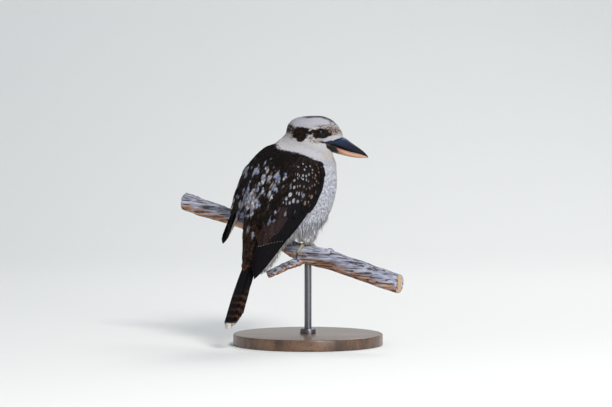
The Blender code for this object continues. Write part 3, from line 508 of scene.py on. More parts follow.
def head_parts(colours, head, luck, wobble):
    """The head's brow, crown, forehead, speckles, mask, gape and nape over the white."""
    hx, hy, hz = head.T
    jitter = 1.8 * wobble
    sides = smooth(7, 11, np.abs(hy))
    brow = smooth(6, 10, hz) * smooth(-30, -22, hz) * smooth(-52, -46, hx)
    crown = smooth(14.0, 9.5, np.abs(hy) + 2.5 * wobble) * smooth(12, 15, hz) * smooth(-27, -17, hx)
    front = smooth(9, 17, hx) * smooth(-7, -1, hz) * smooth(-40, -34, -hx)
    for colour, share in (
        (BROW, 0.8 * brow),
        (BROWN, crown * smooth(0.05, 0.30, luck)),
        (TAN, front * 0.85 * smooth(0.35, 0.6, luck)),
        (BROWN, front * smooth(0.68, 0.78, luck) * 0.9),
    ):
        colours = blend(colours, colour, share)
    for shape, colour, start, end, strength in HEAD_SPECKLES:
        colours = blend(colours, colour, oval(hx, hz, shape, 0.4) * smooth(start, end, luck) * strength)

    mask = np.maximum.reduce([
        oval(hx + jog_x * wobble, hz + jog_z * wobble, shape, soft)
        for *shape, soft, jog_x, jog_z in MASK_OVALS
    ]) * sides
    mask = smooth(0.30, 0.62, mask + 0.55 * (luck - 0.5))
    rim = smooth(0.95, 0.55, mask) * smooth(0.02, 0.3, mask)
    shade = blend(MASK, BROWN, np.maximum(0.8 * smooth(0.55, 0.9, luck), rim))
    colours = blend(colours, shade, mask)

    gape = np.abs(hz - np.interp(hx, *GAPE_LINE))
    colours = blend(colours, MASK, smooth(1.6, 0.8, gape) * smooth(-4, -1, hx) * smooth(9, 6, hx) * sides)
    colours = blend(colours, GAPE_SKIN, smooth(2.7, 1.7, gape) * smooth(4, 7, hx) * smooth(40, 34, hx))
    return blend(colours, BROWN, oval(hx, hz + jitter, NAPE_SPOT, 0.35) * smooth(0.0, 0.2, luck))


def mantle_shades(body, luck, grain):
    """Blackish brown, plum on the lower back and rufous on the rump."""
    bx, _, bz = body.T
    low_back = smooth(52, 38, bz) * smooth(-60, -50, bx - bz)
    rump = smooth(40, 24, bz) * smooth(-40, -55, bx)
    rust = blend(MANTLE * 0.7, RUFOUS, smooth(0.1, 0.9, luck + 0.6 * grain))
    shade = blend(MANTLE, BROWN, 0.85 * smooth(0.45, 1.0, luck) * smooth(125, 95, bz))
    shade = blend(shade, PLUM, 0.8 * low_back * smooth(0.2, 0.7, luck))
    return blend(shade, rust, 0.85 * rump)


def mottles(points, bz, luck, grain, wobble):
    """Pale mottles of the mantle in streaks, bluish, whitish and tan: how sure each is, and its colour."""
    x, _, z = points.T * 1000
    pick = 0.72 * smooth(-0.5, 0.5, grain) + 0.28 * ((luck * 7.13) % 1)
    tone = 0.5 + 0.8 * speckle(points, 0.007, 23.0) + 0.5 * ((luck * 17.7) % 1 - 0.5)
    pale = 0.18 * smooth(-12, -30, x) * smooth(126, 112, bz) * smooth(30, 60, bz)
    for place_x, place_z, radius, strength in PALE_PLACES:
        near = np.hypot(x - place_x, (z - place_z) * 0.7) / radius
        pale = np.maximum(pale, strength * smooth(1.5, 0.6, near + 0.4 * wobble))
    share = smooth(1.0 - pale, 1.12 - pale, pick) * (0.95 - 0.5 * smooth(50, 30, bz))
    tints = blend(PALE_BLUE, SPOT_WHITE, smooth(0.35, 0.6, tone))
    return share, blend(tints, MOTTLE_TAN, smooth(0.68, 0.78, tone))


def markings(points, luck, cape=False):
    """The plumage's colour at points of the coat. Luck, 0 to 1 for each, settles streaks and mottling."""
    head = into(TO_HEAD, points)
    body = into(TO_BODY, points)
    bx, by, bz = body.T
    wobble = speckle(points, 0.006, 3.0)
    broad = speckle(points, 0.016, 11.0)
    grain = streaks(points)
    colours = head_parts(white_parts(body, head, luck, broad), head, luck, wobble)

    # The mantle and back, behind a line that slopes from the shoulders up to the hind neck
    dark = smooth(1.5, -1.5, bz - mantle_edge(bx, by) - 2.4 * broad)
    if not cape:
        dark *= smooth(3, -3, bx - np.interp(bz, *MANTLE_FRONT) - 3 * broad)
    # Towards the photograph's left it reaches 14 mm further down
    reach = 14 * smooth(-62, -68, points[:, 0] * 1000)
    dark *= smooth(-36, -24, bz + reach)
    colours = blend(colours, mantle_shades(body, luck, grain), dark)
    share, tints = mottles(points, bz, luck, grain, wobble)
    return np.clip(blend(colours, tints, share * dark), 0, 1)


# The lie of the coat: places and directions in the body frame and in the head frame, in millimetres.
# Each is mirrored to the other side where it is off the middle.
BODY_LIE = [
    ((50, 0, 125), (-0.1, 0, -1)), ((68, 0, 95), (-0.06, 0, -1)), ((62, 0, 52), (-0.40, 0, -1)),
    ((40, 0, 24), (-1, 0, -0.65)), ((6, 0, 8), (-1, 0, -0.55)), ((-25, 0, -8), (-0.75, 0, -0.75)),
    ((-55, 0, -36), (-0.45, 0, -0.9)), ((24, 45, 105), (-0.35, 0, -1)), ((0, 50, 60), (-0.5, 0, -1)),
    ((20, 42, 45), (-0.6, 0, -1)), ((-40, 35, 20), (-0.5, 0, -0.9)), ((-20, 0, 142), (-0.8, 0, -0.7)),
    ((-55, 0, 115), (-0.4, 0, -0.95)), ((-75, 0, 80), (-0.15, 0, -1)), ((-88, 0, 30), (-0.12, 0, -1)),
    ((-95, 0, -25), (-0.12, 0, -1)), ((-10, 32, 138), (-0.55, 0, -0.85)), ((8, 20, 16), (-0.25, 0, -1)),
]
HEAD_LIE = [
    ((32, 0, 5), (-0.5, 0, 0.85)), ((22, 0, 16), (-0.85, 0, 0.5)), ((0, 0, 23), (-1, 0, 0)),
    ((-25, 0, 21), (-1, 0, -0.2)), ((-44, 0, 0), (-0.3, 0, -1)), ((28, 12, -5), (-1, 0, 0.25)),
    ((-4, 26, 9), (-1, 0, 0.16)), ((-4, 28, -10), (-1, 0, -0.2)), ((2, 26, -18), (-1, 0, -0.45)),
    ((-28, 27, 0), (-1, 0, -0.30)), ((-40, 15, -8), (-0.6, 0, -0.9)), ((20, 0, -30), (-1, 0, -0.5)),
    ((0, 0, -36), (-0.45, 0, -1)), ((12, 20, -26), (-1, 0, -0.5)),
]


def lie_guides():
    places, ways = [], []
    for table, matrix in ((BODY_LIE, BODY), (HEAD_LIE, HEAD)):
        for place, way in table:
            for sign in (1, -1) if place[1] else (1,):
                places.append(matrix @ (Vector((place[0], place[1] * sign, place[2])) * MM))
                ways.append((matrix.to_3x3() @ Vector(way)).normalized())
    return np.array(places), np.array(ways)


LIE_PLACES, LIE_WAYS = lie_guides()


def lie_at(points, normals, places=LIE_PLACES, ways=LIE_WAYS):
    """The way that the feathers lie, along the surface."""
    apart = ((points[:, None, :] - places[None]) ** 2).sum(2)
    weight = 1 / (apart + (4 * MM) ** 2) ** 1.6
    way = weight @ ways
    way -= normals * (way * normals).sum(1, keepdims=True)
    return unit(way)


# Skin

SKIN_NODES = ("head", "neck", "torso", "leg_left", "leg_right")


def coat_depth(points):
    """How far the skin lies inside the plumage's outer form."""
    hx, _, hz = into(TO_HEAD, points).T
    bx, _, bz = into(TO_BODY, points).T
    depth = toward(BODY_COAT, NECK_COAT, smooth(-56, -26, hz))
    depth = toward(depth, FACE_COAT, smooth(-20, 12, hx) * smooth(-36, -24, hz))
    return toward(depth, LEG_COAT, smooth(17, 10, bz) * smooth(-20, -8, bx))


def make_skin():
    skin = fused("plumage_skin", SKIN_NODES, SKIN_SWELL, SKIN_VOXEL, 6)
    hx, _, hz = into(TO_HEAD, read_points(skin)).T
    hind_neck = smooth(0, -12, hz) * smooth(-70, -45, hz) * smooth(10, -12, hx)
    group = skin.vertex_groups.new(name="hind_neck")
    for i in np.nonzero(hind_neck > 0.02)[0].tolist():
        group.add([i], float(hind_neck[i]), "REPLACE")
    soften(skin, 45, "hind_neck")
    points = read_points(skin)
    hx, _, hz = into(TO_HEAD, points).T
    points[:, 2] -= BILL_DROP * smooth(3, 13, hx) * smooth(-1, -7, hz) * smooth(-52, -32, hz)
    points -= read_points(skin, "normal") * (coat_depth(points) + SKIN_SWELL)[:, None]
    set_points(skin, points)
    soften(skin, 3)
    points = read_points(skin)
    add_values(skin.data, "tint", markings(points, chance.random(len(points))))
    skin.data.shade_smooth()
    return hand_over(skin, skin_look(), SKIN_NODES)


# Coat

# Roots tried for the coat and the cape, of which those too near another fall out, and the most triangles
# that one piece of the coat takes
COAT_TRIES = 150000
CAPE_TRIES = 60000
PIECE_TRIANGLES = 190000

# A feather's spine is known at these shares of its length, and rises to these shares of its height
SPINE_PLACES = (0.0, 0.30, 0.60, 0.85, 1.0)
SPINE_RISE = (-0.25, 0.62, 0.93, 1.0, 0.94)


def mantle_share(points):
    """1 on the dark mantle and back, 0 on the white plumage."""
    bx, _, bz = into(TO_BODY, points).T
    below = smooth(2, -6, bz - MANTLE_TOP + MANTLE_SLOPE * bx)
    behind = smooth(6, -4, bx - np.interp(bz, *MANTLE_FRONT))
    return below * behind * smooth(-44, -30, bz)


def feather_sizes(points):
    """Length, width, height over the skin and cover for a feather rooted at each point, in metres."""
    hx, _, hz = into(TO_HEAD, points).T
    bx, _, bz = into(TO_BODY, points).T
    head = smooth(-56, -27, hz) * smooth(-54, -44, hx)
    face = smooth(-14, 20, hx) * head
    leg = smooth(16, 9, bz) * smooth(-20, -8, bx) * smooth(34, 24, bx)
    belly = smooth(62, 30, bz) * smooth(-60, -10, bx)
    length, width, cover = 15.0, 2.5, 6.5
    for share, long, wide, thick in (
        (belly, 20.0, 2.7, 7.0),
        (mantle_share(points), 14.0, 3.6, 5.5),
        (head, 7.0, 1.9, 6.0),
        (face, 3.9, 1.25, 6.0),
        (leg, 12.0, 2.8, 6.5),
    ):
        length = toward(length, long, share)
        width = toward(width, wide, share)
        cover = toward(cover, thick, share)
    return length * MM, width * MM, coat_depth(points) * 0.92, cover


def scatter(skin, total, sizes=feather_sizes):
    """Points spread evenly over the skin, closer where the feathers are smaller."""
    mesh = skin.data
    mesh.calc_loop_triangles()
    corners = np.empty(len(mesh.loop_triangles) * 3, np.int32)
    mesh.loop_triangles.foreach_get("vertices", corners)
    points = read_points(skin)
    a, b, c = (points[corners.reshape(-1, 3)[:, i]] for i in range(3))
    area = np.linalg.norm(np.cross(b - a, c - a), axis=1) / 2
    length, width, _, cover = sizes((a + b + c) / 3)
    density = cover / (0.6 * length * width)
    weight = area * density
    picks = chance.choice(len(weight), size=total, p=weight / weight.sum())
    u, v = chance.random(total), chance.random(total)
    flip = u + v > 1
    u[flip], v[flip] = 1 - u[flip], 1 - v[flip]
    spots = a[picks] + (b - a)[picks] * u[:, None] + (c - a)[picks] * v[:, None]
    apart = np.sqrt(0.66 / density[picks])
    cell = apart.max()
    around = [(x, y, z) for x in (-1, 0, 1) for y in (-1, 0, 1) for z in (-1, 0, 1)]
    grid = {}
    kept = []
    for i, (spot, reach) in enumerate(zip(spots.tolist(), apart.tolist())):
        kx, ky, kz = (int(x // cell) for x in spot)
        near = [other for x, y, z in around for other in grid.get((kx + x, ky + y, kz + z), ())]
        if all(math.dist(spot, other) > reach for other in near):
            grid.setdefault((kx, ky, kz), []).append(spot)
            kept.append(i)
    return spots[kept]


def nearest(tree, points):
    """The nearest points of a surface and the normals there."""
    spots, normals = np.empty_like(points), np.empty_like(points)
    for i, point in enumerate(points.tolist()):
        spots[i], normals[i], _, _ = tree.find_nearest(point)
    return spots, normals


def strip(upper, lower):
    """Triangles between two rows of points of a feather, spread evenly."""
    faces = []
    i = j = 0
    last_i, last_j = len(upper) - 1, len(lower) - 1
    while i < last_i or j < last_j:
        if j == last_j or i < last_i and (i + 1) * last_j <= (j + 1) * last_i:
            faces.append((upper[i], lower[j], upper[i + 1]))
            i += 1
        else:
            faces.append((upper[i], lower[j], lower[j + 1]))
            j += 1
    return faces


def loose_feather(fingers=5):
    """A soft feather whose end parts into thin barbs."""
    row_a = [(0.30, x, 0) for x in (-0.62, -0.22, 0.22, 0.62)]
    under_a = [(0.30, -0.22, -1), (0.30, 0.22, -1)]
    edges = [2 * k / fingers - 1 for k in range(fingers + 1)]
    middles = [(a + b) / 2 for a, b in zip(edges, edges[1:])]
    row_b = [(0.60, x, 0) for x in edges]
    under_b = [(0.60, x, -1) for x in middles]
    tips = [(1.0 - 0.16 * x * x, x * 0.82, 0) for x in middles]
    points = [(0.0, 0.0, 0.0)] + row_a + under_a + row_b + under_b + tips
    a = [1, 2, 3, 4]
    a_low = [1, 5, 6, 4]
    b = [7 + k for k in range(fingers + 1)]
    low = [b[-1] + 1 + k for k in range(fingers)]
    tip = [low[-1] + 1 + k for k in range(fingers)]
    b_low = [b[0]]
    for k in range(fingers):
        b_low += [low[k], b[k + 1]]
    faces = [(0, a[k], a[k + 1]) for k in range(3)] + strip(a, b)
    faces += [(b[k], tip[k], b[k + 1]) for k in range(fingers)]
    under = [(0, a_low[k], a_low[k + 1]) for k in range(3)] + strip(a_low, b_low)
    for k in range(fingers):
        under += [(b[k], tip[k], low[k]), (low[k], tip[k], b[k + 1])]
    faces += [(p, r, q) for p, q, r in under]
    return np.array(points), np.array(faces)


def unwrap(points):
    """Where points lie on an unwrap of the skin round the bird's upright axis, 0 to 1."""
    bx, by, bz = into(TO_BODY, points).T
    middle = np.interp(bz, [-45, 0, 60, 110, 150, 180], [-70, -45, -5, 8, 38, 38])
    turn = np.arctan2(by, bx - middle) / (2 * math.pi) + 0.5
    return np.stack([0.02 + 0.96 * turn, 0.02 + 0.96 * np.clip((bz + 50) / 240, 0, 1)], 1)


def lay_spines(tree, roots, length, swing, loose, lie):
    """Each feather's points, normals and ways at the places of its spine, laid along the skin.
    Loose, 0 to 1 for each, lets the ends hang."""
    spot, normal = nearest(tree, roots)
    spine, normals, ways = [], [], []
    place = 0.0
    for share in SPINE_PLACES:
        way = lie(spot, normal)
        side = np.cross(normal, way)
        way = way * np.cos(swing)[:, None] + side * np.sin(swing)[:, None]
        if share > 0:
            reach = (length * (share - place))[:, None]
            spot, near_normal = nearest(tree, spot + way * reach)
            if loose is not None:
                hang = (loose * smooth(0.25, 0.7, share))[:, None]
                down = np.array((0, 0, -0.9)) * hang
                fall = unit(ways[-1] * (1 - 0.7 * hang) + down + normals[-1] * 0.20 * hang)
                spot = toward(spot, spine[-1] + fall * reach, hang)
                near_normal = unit(toward(near_normal, normal, hang))
                way = unit(toward(way, fall, hang))
            normal = near_normal
            place = share
        spine.append(spot)
        normals.append(normal)
        ways.append(way)
    # Normals are evened out along each feather, so that no vane folds where the skin does.
    steady = unit(sum(normals))
    return spine, [unit(n * 0.6 + steady * 0.4) for n in normals], ways


def grow_coat(
    name, roots, tree, look, kind, loose=None, stretch=1.0, sizes=feather_sizes, lie=lie_at, cape=False
):
    """Small feathers of one kind from these roots, lying over the skin."""
    count = len(roots)
    length, width, height, _ = sizes(roots)
    length = length * chance.uniform(0.78, 1.18, count) * stretch
    width = width * chance.uniform(0.8, 1.2, count)
    height = height * chance.uniform(0.93, 1.06, count)
    luck = chance.random(count)
    swing = chance.normal(0, 0.12, count)
    spine, normals, ways = lay_spines(tree, roots, length, swing, loose, lie)
    colours = markings(spine[2] + normals[2] * height[:, None] * 0.5, luck, cape)
    colours *= chance.uniform(0.92, 1.06, count)[:, None]

    # The feather's own points, each at a share of the length and across the width
    template, shape = kind
    each = len(template)
    share = np.repeat(template[None, :, 0], count, 0)
    across = np.repeat(template[None, :, 1], count, 0)
    tips = template[:, 0] > 0.89
    share[:, tips] *= chance.uniform(0.84, 1.05, (count, int(tips.sum())))
    across[:, tips] += chance.normal(0, 0.09, (count, int(tips.sum())))
    share, x = share.ravel(), across.ravel()
    who = np.repeat(np.arange(count), each)
    step = np.clip(np.searchsorted(SPINE_PLACES, share, "right") - 1, 0, len(SPINE_PLACES) - 2)
    low, high = np.array(SPINE_PLACES)[step], np.array(SPINE_PLACES)[step + 1]
    between = ((share - low) / (high - low))[:, None]

    def at(rows):
        rows = np.array(rows)
        return rows[step, who] * (1 - between) + rows[step + 1, who] * between

    raised = [p + n * (height * rise)[:, None] for p, n, rise in zip(spine, normals, SPINE_RISE)]
    sides = [np.cross(n, w) for n, w in zip(normals, ways)]
    half = (width / 2)[who]
    thick = np.minimum(width * 0.07, 0.28 * MM)[who] * np.tile(template[:, 2], count)
    lift = thick - half * 0.16 * x * x
    points = at(raised) + at(sides) * (x * half)[:, None] + at(normals) * lift[:, None]
    faces = (shape[None] + (np.arange(count) * each)[:, None, None]).reshape(-1, 3)

    local = np.stack([(1 - x) / 2, share], 1)
    home = np.repeat(unwrap(roots), each, 0) + (local - 0.5) * 0.003
    # Each feather darkens towards its root. This is painted shade where it slips under its neighbours, and
    # on the cape it is also the dark bases of the mantle feathers
    root_base_and_shade = 0.35 if cape else 0.92
    base_and_root_shade_factor = root_base_and_shade + (1 - root_base_and_shade) * smooth(0.05, 0.6, share)
    tint = colours[who] * base_and_root_shade_factor[:, None]
    coat = fast_mesh(name, points, faces, {"vane": local, "OFBake": home}, {"tint": tint})
    return hand_over(coat, look)


def clear_of(roots, trees, eyes):
    """Which roots are off the eyes and the bill."""
    keep = np.ones(len(roots), bool)
    ahead = into(TO_HEAD, roots)[:, 0]
    for i, root in enumerate(roots):
        point = Vector(root)
        if any((point - middle).length < LID_REACH for middle, _ in eyes):
            keep[i] = False
            continue
        if ahead[i] < 2:
            continue
        for tree in trees:
            spot, normal, _, gap = tree.find_nearest(point)
            if gap < 0.5 * MM or (point - spot).dot(normal) < 0 and gap < 8 * MM:
                keep[i] = False
                break
    return keep


def make_coat(skin, bill):
    tree = tree_of(skin)
    roots = scatter(skin, COAT_TRIES)
    eyes = [eye_middle(side) for side in ("left", "right")]
    roots = roots[clear_of(roots, [tree_of(half) for half in bill], eyes)]
    hx, _, hz = into(TO_HEAD, roots).T
    bx, _, bz = into(TO_BODY, roots).T
    look = coat_look("plumage_coat", 0.92, 1.06, 700.0)
    head = (hz > -29) & (hx > -47)
    back = ~head & (bx < np.interp(bz, [-40, 130], [-75, -5]))
    front = ~head & ~back
    fine, loose = loose_feather(3), loose_feather()
    for name, inside, kind in (("head", head, fine), ("back", back, loose), ("front", front, loose)):
        chosen = roots[inside]
        parts = math.ceil(len(chosen) * len(kind[1]) / PIECE_TRIANGLES)
        for part in range(parts):
            label = f"coat_{name}_{part + 1}" if parts > 1 else f"coat_{name}"
            grow_coat(label, chosen[part::parts], tree, look, kind)

    # Loose ends: over the legs and the lower belly, at the vent, along the flanks and on the rump
    mantle = mantle_share(roots)
    skirt = (bz > 4) & (bz < 48) & (bx > -34)
    vent = (bz > -46) & (bz < 12) & (bx < -10) & (mantle < 0.1)
    flank = (bz > 48) & (bz < 90) & (mantle < 0.1)
    rump = (bz > -30) & (bz < 30) & (bx < -55) & (mantle > 0.5)
    odds = np.maximum(0.85 * skirt, 0.45 * vent) + 0.12 * flank
    chosen = roots[chance.random(len(roots)) < odds * front + 0.4 * rump]
    bx, _, bz = into(TO_BODY, chosen).T
    loose_share = chance.uniform(0.45, 1.0, len(chosen)) * (1 - 0.55 * smooth(40, 60, bz))
    loose_share *= 1 - 0.25 * smooth(-40, -55, bx)
    over_perch = bx > -34
    stretch = np.where(over_perch, np.clip((bz + 5) / 19, 0.5, 1.3), 1.2)
    grow_coat("coat_loose", chosen, tree, look, loose, loose_share, stretch)


# Eyes and lids

EYE_RADIUS = 7.6 * MM
LID_REACH = 7.4 * MM
LID_STEPS = 72
LID_SIDES = 10


def eye_middle(side):
    """The middle of an eye, and the way that it looks out of the head."""
    low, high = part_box("eye_" + side)
    out = HEAD.to_3x3() @ Vector((0.16, 1.0 if side == "left" else -1.0, 0.02))
    return (Vector(low) + Vector(high)) / 2, out.normalized()


def eye_look():
    look = Look("eye", Roughness=0.02, Specular_IOR_Level=0.18)
    iris = look.mix(look.noise(900.0), (0.020, 0.009, 0.005), (0.042, 0.019, 0.009))
    look.paint(look.mix(look.step(look.amount("ring"), 0.62, 0.66), iris, (0.002, 0.002, 0.003)))
    return look.material


def lid_look():
    look = Look("lid_skin", Roughness=0.6, Specular_IOR_Level=0.15)
    folds = look.noise(1500.0)
    look.paint(look.mix(folds, (0.004, 0.003, 0.003), (0.014, 0.010, 0.008)))
    look.relief(folds, 0.0003, 0.7)
    return look.material


def lid_ring(place, angle):
    """Points round the lids' rolled rim at this angle of the eye, a little drawn out to its corners."""
    corner = abs(math.cos(angle)) ** 6
    radius = (5.9 + 0.7 * corner - 0.25 * abs(math.sin(angle))) * MM
    rim = (0.75 + 0.075 * math.sin(angle * 9) ** 2) * MM
    lift = math.sqrt(max(EYE_RADIUS**2 - radius**2, 0))
    ring = []
    for k in range(LID_SIDES):
        turn = 2 * math.pi * k / LID_SIDES
        across = radius + rim * math.cos(turn)
        height = lift + rim * 1.1 * math.sin(turn)
        ring.append(place @ Vector((across * math.cos(angle), across * math.sin(angle), height)))
    return ring


def make_eyes():
    look, skin = eye_look(), lid_look()
    for side in ("left", "right"):
        middle, out = eye_middle(side)
        place = Matrix.Translation(middle) @ out.to_track_quat("Z", "Y").to_matrix().to_4x4()
        mesh = bpy.data.meshes.new("eyeball_" + side)
        work = bmesh.new()
        bmesh.ops.create_uvsphere(work, u_segments=48, v_segments=32, radius=EYE_RADIUS)
        work.to_mesh(mesh)
        work.free()
        add_values(mesh, "ring", [vertex.co.z / EYE_RADIUS for vertex in mesh.vertices])
        mesh.transform(place)
        mesh.shade_smooth()
        hand_over(new_object("eyeball_" + side, mesh), look, ("eye_" + side,))

        points = [p for i in range(LID_STEPS) for p in lid_ring(place, 2 * math.pi * i / LID_STEPS)]
        faces = []
        for i in range(LID_STEPS):
            for k in range(LID_SIDES):
                a, b = i * LID_SIDES, (i + 1) % LID_STEPS * LID_SIDES
                j = (k + 1) % LID_SIDES
                faces.append((a + k, b + k, b + j, a + j))
        hand_over(fast_mesh("lids_" + side, np.array(points), np.array(faces)), skin)


# Bill

# Stations along each half, and points round each station
BILL_STATIONS = 72
BILL_SIDES = 44

# Place forwards, top, cutting edge and bottom heights, and half width, in metres in the head frame
BILL = [
    (0.0010, -0.0118, -0.0128, -0.0142, 0.0180),
    (0.0060, -0.0105, -0.0130, -0.0185, 0.0180),
    (0.0140, -0.0090, -0.0158, -0.0240, 0.0200),
    (0.0250, -0.0072, -0.0190, -0.0283, 0.0176),
    (0.0360, -0.0058, -0.0233, -0.0312, 0.0137),
    (0.0470, -0.0130, -0.0270, -0.0337, 0.0101),
    (0.0580, -0.0205, -0.0296, -0.0352, 0.0067),
    (0.0665, -0.0272, -0.0322, -0.0352, 0.0036),
    (0.0715, -0.0330, -0.0346, -0.0356, 0.0010),
]
HALF_GAP = 0.15 * MM
UPPER_CORNER = 4.5 * MM
LOWER_CORNER = 6.0 * MM

# The nostril: its place, its half sizes in millimetres, its slope and its depth
NOSTRIL = Vector((0.0300, 0.0154, -0.0122))
NOSTRIL_REACH = Vector((3.4, 4.0, 1.15))
NOSTRIL_TURN = Matrix.Rotation(math.radians(-14), 3, "Y")
NOSTRIL_DEPTH = 1.5 * MM


def bill_look(name, colours, gloss):
    look = Look(name, Roughness=gloss, Specular_IOR_Level=0.2)
    tint = look.colour("tint")
    wear = look.noise(260.0, 4.0)
    fine = look.noise(45.0, 4.0, look.stretched((9, 60, 60), (0, 0, math.radians(-10))))
    streak, worn = (look.mix(1.0, tint, colour, "MULTIPLY") for colour in colours)
    colour = look.mix(look.step(wear, 0.4, 0.75), tint, worn)
    look.paint(look.mix(look.step(fine, 0.5, 0.7) * 0.6, colour, streak))
    look.relief(fine * 0.7 + wear * 0.3, 0.0004, 0.35)
    look.roughen(wear * 0.25 + (gloss - 0.1))
    return look.material


def cheek(tree, x, z):
    """How far out the head's skin is at this place of its side, or 0 where there is none."""
    start = HEAD @ Vector((x, -0.06, z))
    hit, _, _, _ = tree.ray_cast(start, HEAD.to_3x3() @ Vector((0, 1, 0)), 0.06)
    return abs((HEAD.inverted() @ hit).y) if hit else 0.0


def bill_station(share, upper, tree):
    """Points round one half of the bill at this share of its length."""
    x, top, edge, bottom, width = along(BILL, share)
    top, edge, bottom = (z - BILL_DROP for z in (top, edge, bottom))
    corner = UPPER_CORNER if upper else LOWER_CORNER
    gape = 1 - smooth(0.016, 0.024, x)
    sunk = 2.5 * MM * (1 - smooth(corner, corner + 2.5 * MM, x))
    high, low = (top, edge + HALF_GAP) if upper else (edge - HALF_GAP, bottom)
    points = []
    for k in range(BILL_SIDES):
        angle = 2 * math.pi * k / BILL_SIDES
        c, s = math.cos(angle), math.sin(angle)
        flat_side = c < 0 if upper else c > 0
        out = width * abs(s) ** (0.45 if flat_side else 0.85)
        z = (high + low) / 2 + (high - low) / 2 * c
        if gape > 0 and abs(s) > 0.1:
            proud = (0.9 * smooth(0.2, 0.65, abs(s)) - 0.4) * MM - sunk
            out += gape * smooth(0.1, 0.4, abs(s)) * max(cheek(tree, x, z) + proud - out, 0)
        points.append(Vector((x, math.copysign(out, s), z)))
    return points


def sink_nostrils(points):
    for point in points:
        for sign in (1, -1):
            off = point - Vector((NOSTRIL.x, sign * NOSTRIL.y, NOSTRIL.z - BILL_DROP))
            off.rotate(NOSTRIL_TURN)
            reach = Vector(a / b for a, b in zip(off, NOSTRIL_REACH)).length * 1000
            if reach < 1.0:
                point.y -= sign * NOSTRIL_DEPTH * (1 - reach * reach)


def bill_mesh(name, upper, tree):
    """One half of the bill, finely lofted, with a sunk nostril and a sharp cutting edge.
    Its hind corner lies on the cheek, as the gape does."""
    points = []
    for i in range(BILL_STATIONS):
        points += bill_station(i / (BILL_STATIONS - 1), upper, tree)
    if upper:
        sink_nostrils(points)
    faces = loft_faces(BILL_STATIONS, BILL_SIDES)
    local = np.array(points)
    for start in (0, (BILL_STATIONS - 1) * BILL_SIDES):
        centre = len(local)
        local = np.vstack([local, local[start:start + BILL_SIDES].mean(0)])
        faces += [(start + k, start + (k + 1) % BILL_SIDES, centre) for k in range(BILL_SIDES)]
    mesh = bpy.data.meshes.new(name)
    mesh.from_pydata([HEAD @ Vector(point) for point in local], [], faces)
    mesh.validate()
    face_outwards(mesh)
    mesh.shade_smooth()
    mesh.set_sharp_from_angle(angle=math.radians(50))
    return new_object(name, mesh), local


def make_bill(skin):
    tree = tree_of(skin)
    upper, local = bill_mesh("mandible_upper", True, tree)
    x = local[:, 0] * 1000
    dark, blue = np.array((0.004, 0.005, 0.012)), np.array((0.010, 0.026, 0.074))
    ridge = smooth(0.25, 0.8, np.clip((local[:, 2] * 1000 + 30) / 24, 0, 1))
    add_values(upper.data, "tint", blend(dark, blue, 0.75 * ridge * (1 - 0.5 * smooth(30, 12, x))))
    look = bill_look("bill_black", ((1.9, 1.9, 1.8), (0.7, 0.7, 0.8)), 0.46)
    hand_over(upper, look, ("bill_upper",))

    lower, local = bill_mesh("mandible_lower", False, tree)
    x, z = local[:, 0] * 1000, (local[:, 2] + BILL_DROP) * 1000
    horn, pink = np.array((0.50, 0.27, 0.17)), np.array((0.36, 0.17, 0.12))
    black, olive = np.array((0.005, 0.004, 0.004)), np.array((0.075, 0.070, 0.050))
    edge = np.interp(x, [6, 25, 47, 71], [-13.0, -19.0, -27.0, -34.6])
    root = smooth(25.5, 20.5, x + 0.5 * (z - edge))
    rim = 0.75 * smooth(1.5, 0.4, edge - z) * smooth(66, 30, x)
    tint = blend(horn, pink, smooth(38, 26, x))
    tint = blend(tint, black, np.maximum(root, rim))
    tint = blend(tint, olive, 0.9 * smooth(2.2, 1.4, edge - z) * smooth(26, 22, x))
    add_values(lower.data, "tint", tint)
    look = bill_look("bill_horn", ((0.72, 0.66, 0.62), (1.15, 1.15, 1.1)), 0.48)
    hand_over(lower, look, ("bill_lower",))
    return upper, lower


# Wings

# The lower and the upper edge of each wing and the line of the back, in metres in the body frame
RIGHT_LOWER = [
    (0.011, -0.045, 0.113), (0.004, -0.054, 0.084), (-0.022, -0.055, 0.048),
    (-0.049, -0.044, 0.014), (-0.072, -0.031, -0.018), (-0.097, -0.021, -0.046),
]
RIGHT_UPPER = [
    (-0.024, -0.036, 0.120), (-0.048, -0.040, 0.092), (-0.062, -0.036, 0.062),
    (-0.076, -0.028, 0.028), (-0.088, -0.021, -0.004), (-0.100, -0.017, -0.044),
]
LEFT_LOWER = [
    (0.034, -0.044, 0.112), (0.020, -0.058, 0.086), (-0.008, -0.064, 0.060),
    (-0.040, -0.064, 0.040), (-0.066, -0.058, 0.019), (-0.086, -0.050, 0.000),
]
LEFT_UPPER = [
    (-0.024, -0.038, 0.120), (-0.045, -0.043, 0.096), (-0.060, -0.042, 0.070),
    (-0.067, -0.044, 0.044), (-0.077, -0.047, 0.020), (-0.088, -0.048, 0.000),
]
BACK_LINE = [
    (-0.020, -0.006, 0.143), (-0.052, -0.006, 0.118), (-0.072, -0.006, 0.088),
    (-0.080, -0.006, 0.058), (-0.088, -0.006, 0.030), (-0.093, -0.006, 0.004),
]

# The upper edge's place across, four times the bulge between the edges, and how far the sheet keeps off
# the body
UPPER_SHARE = 0.72
HUMP = 0.024
SHEET_CLEAR = 1.2 * MM

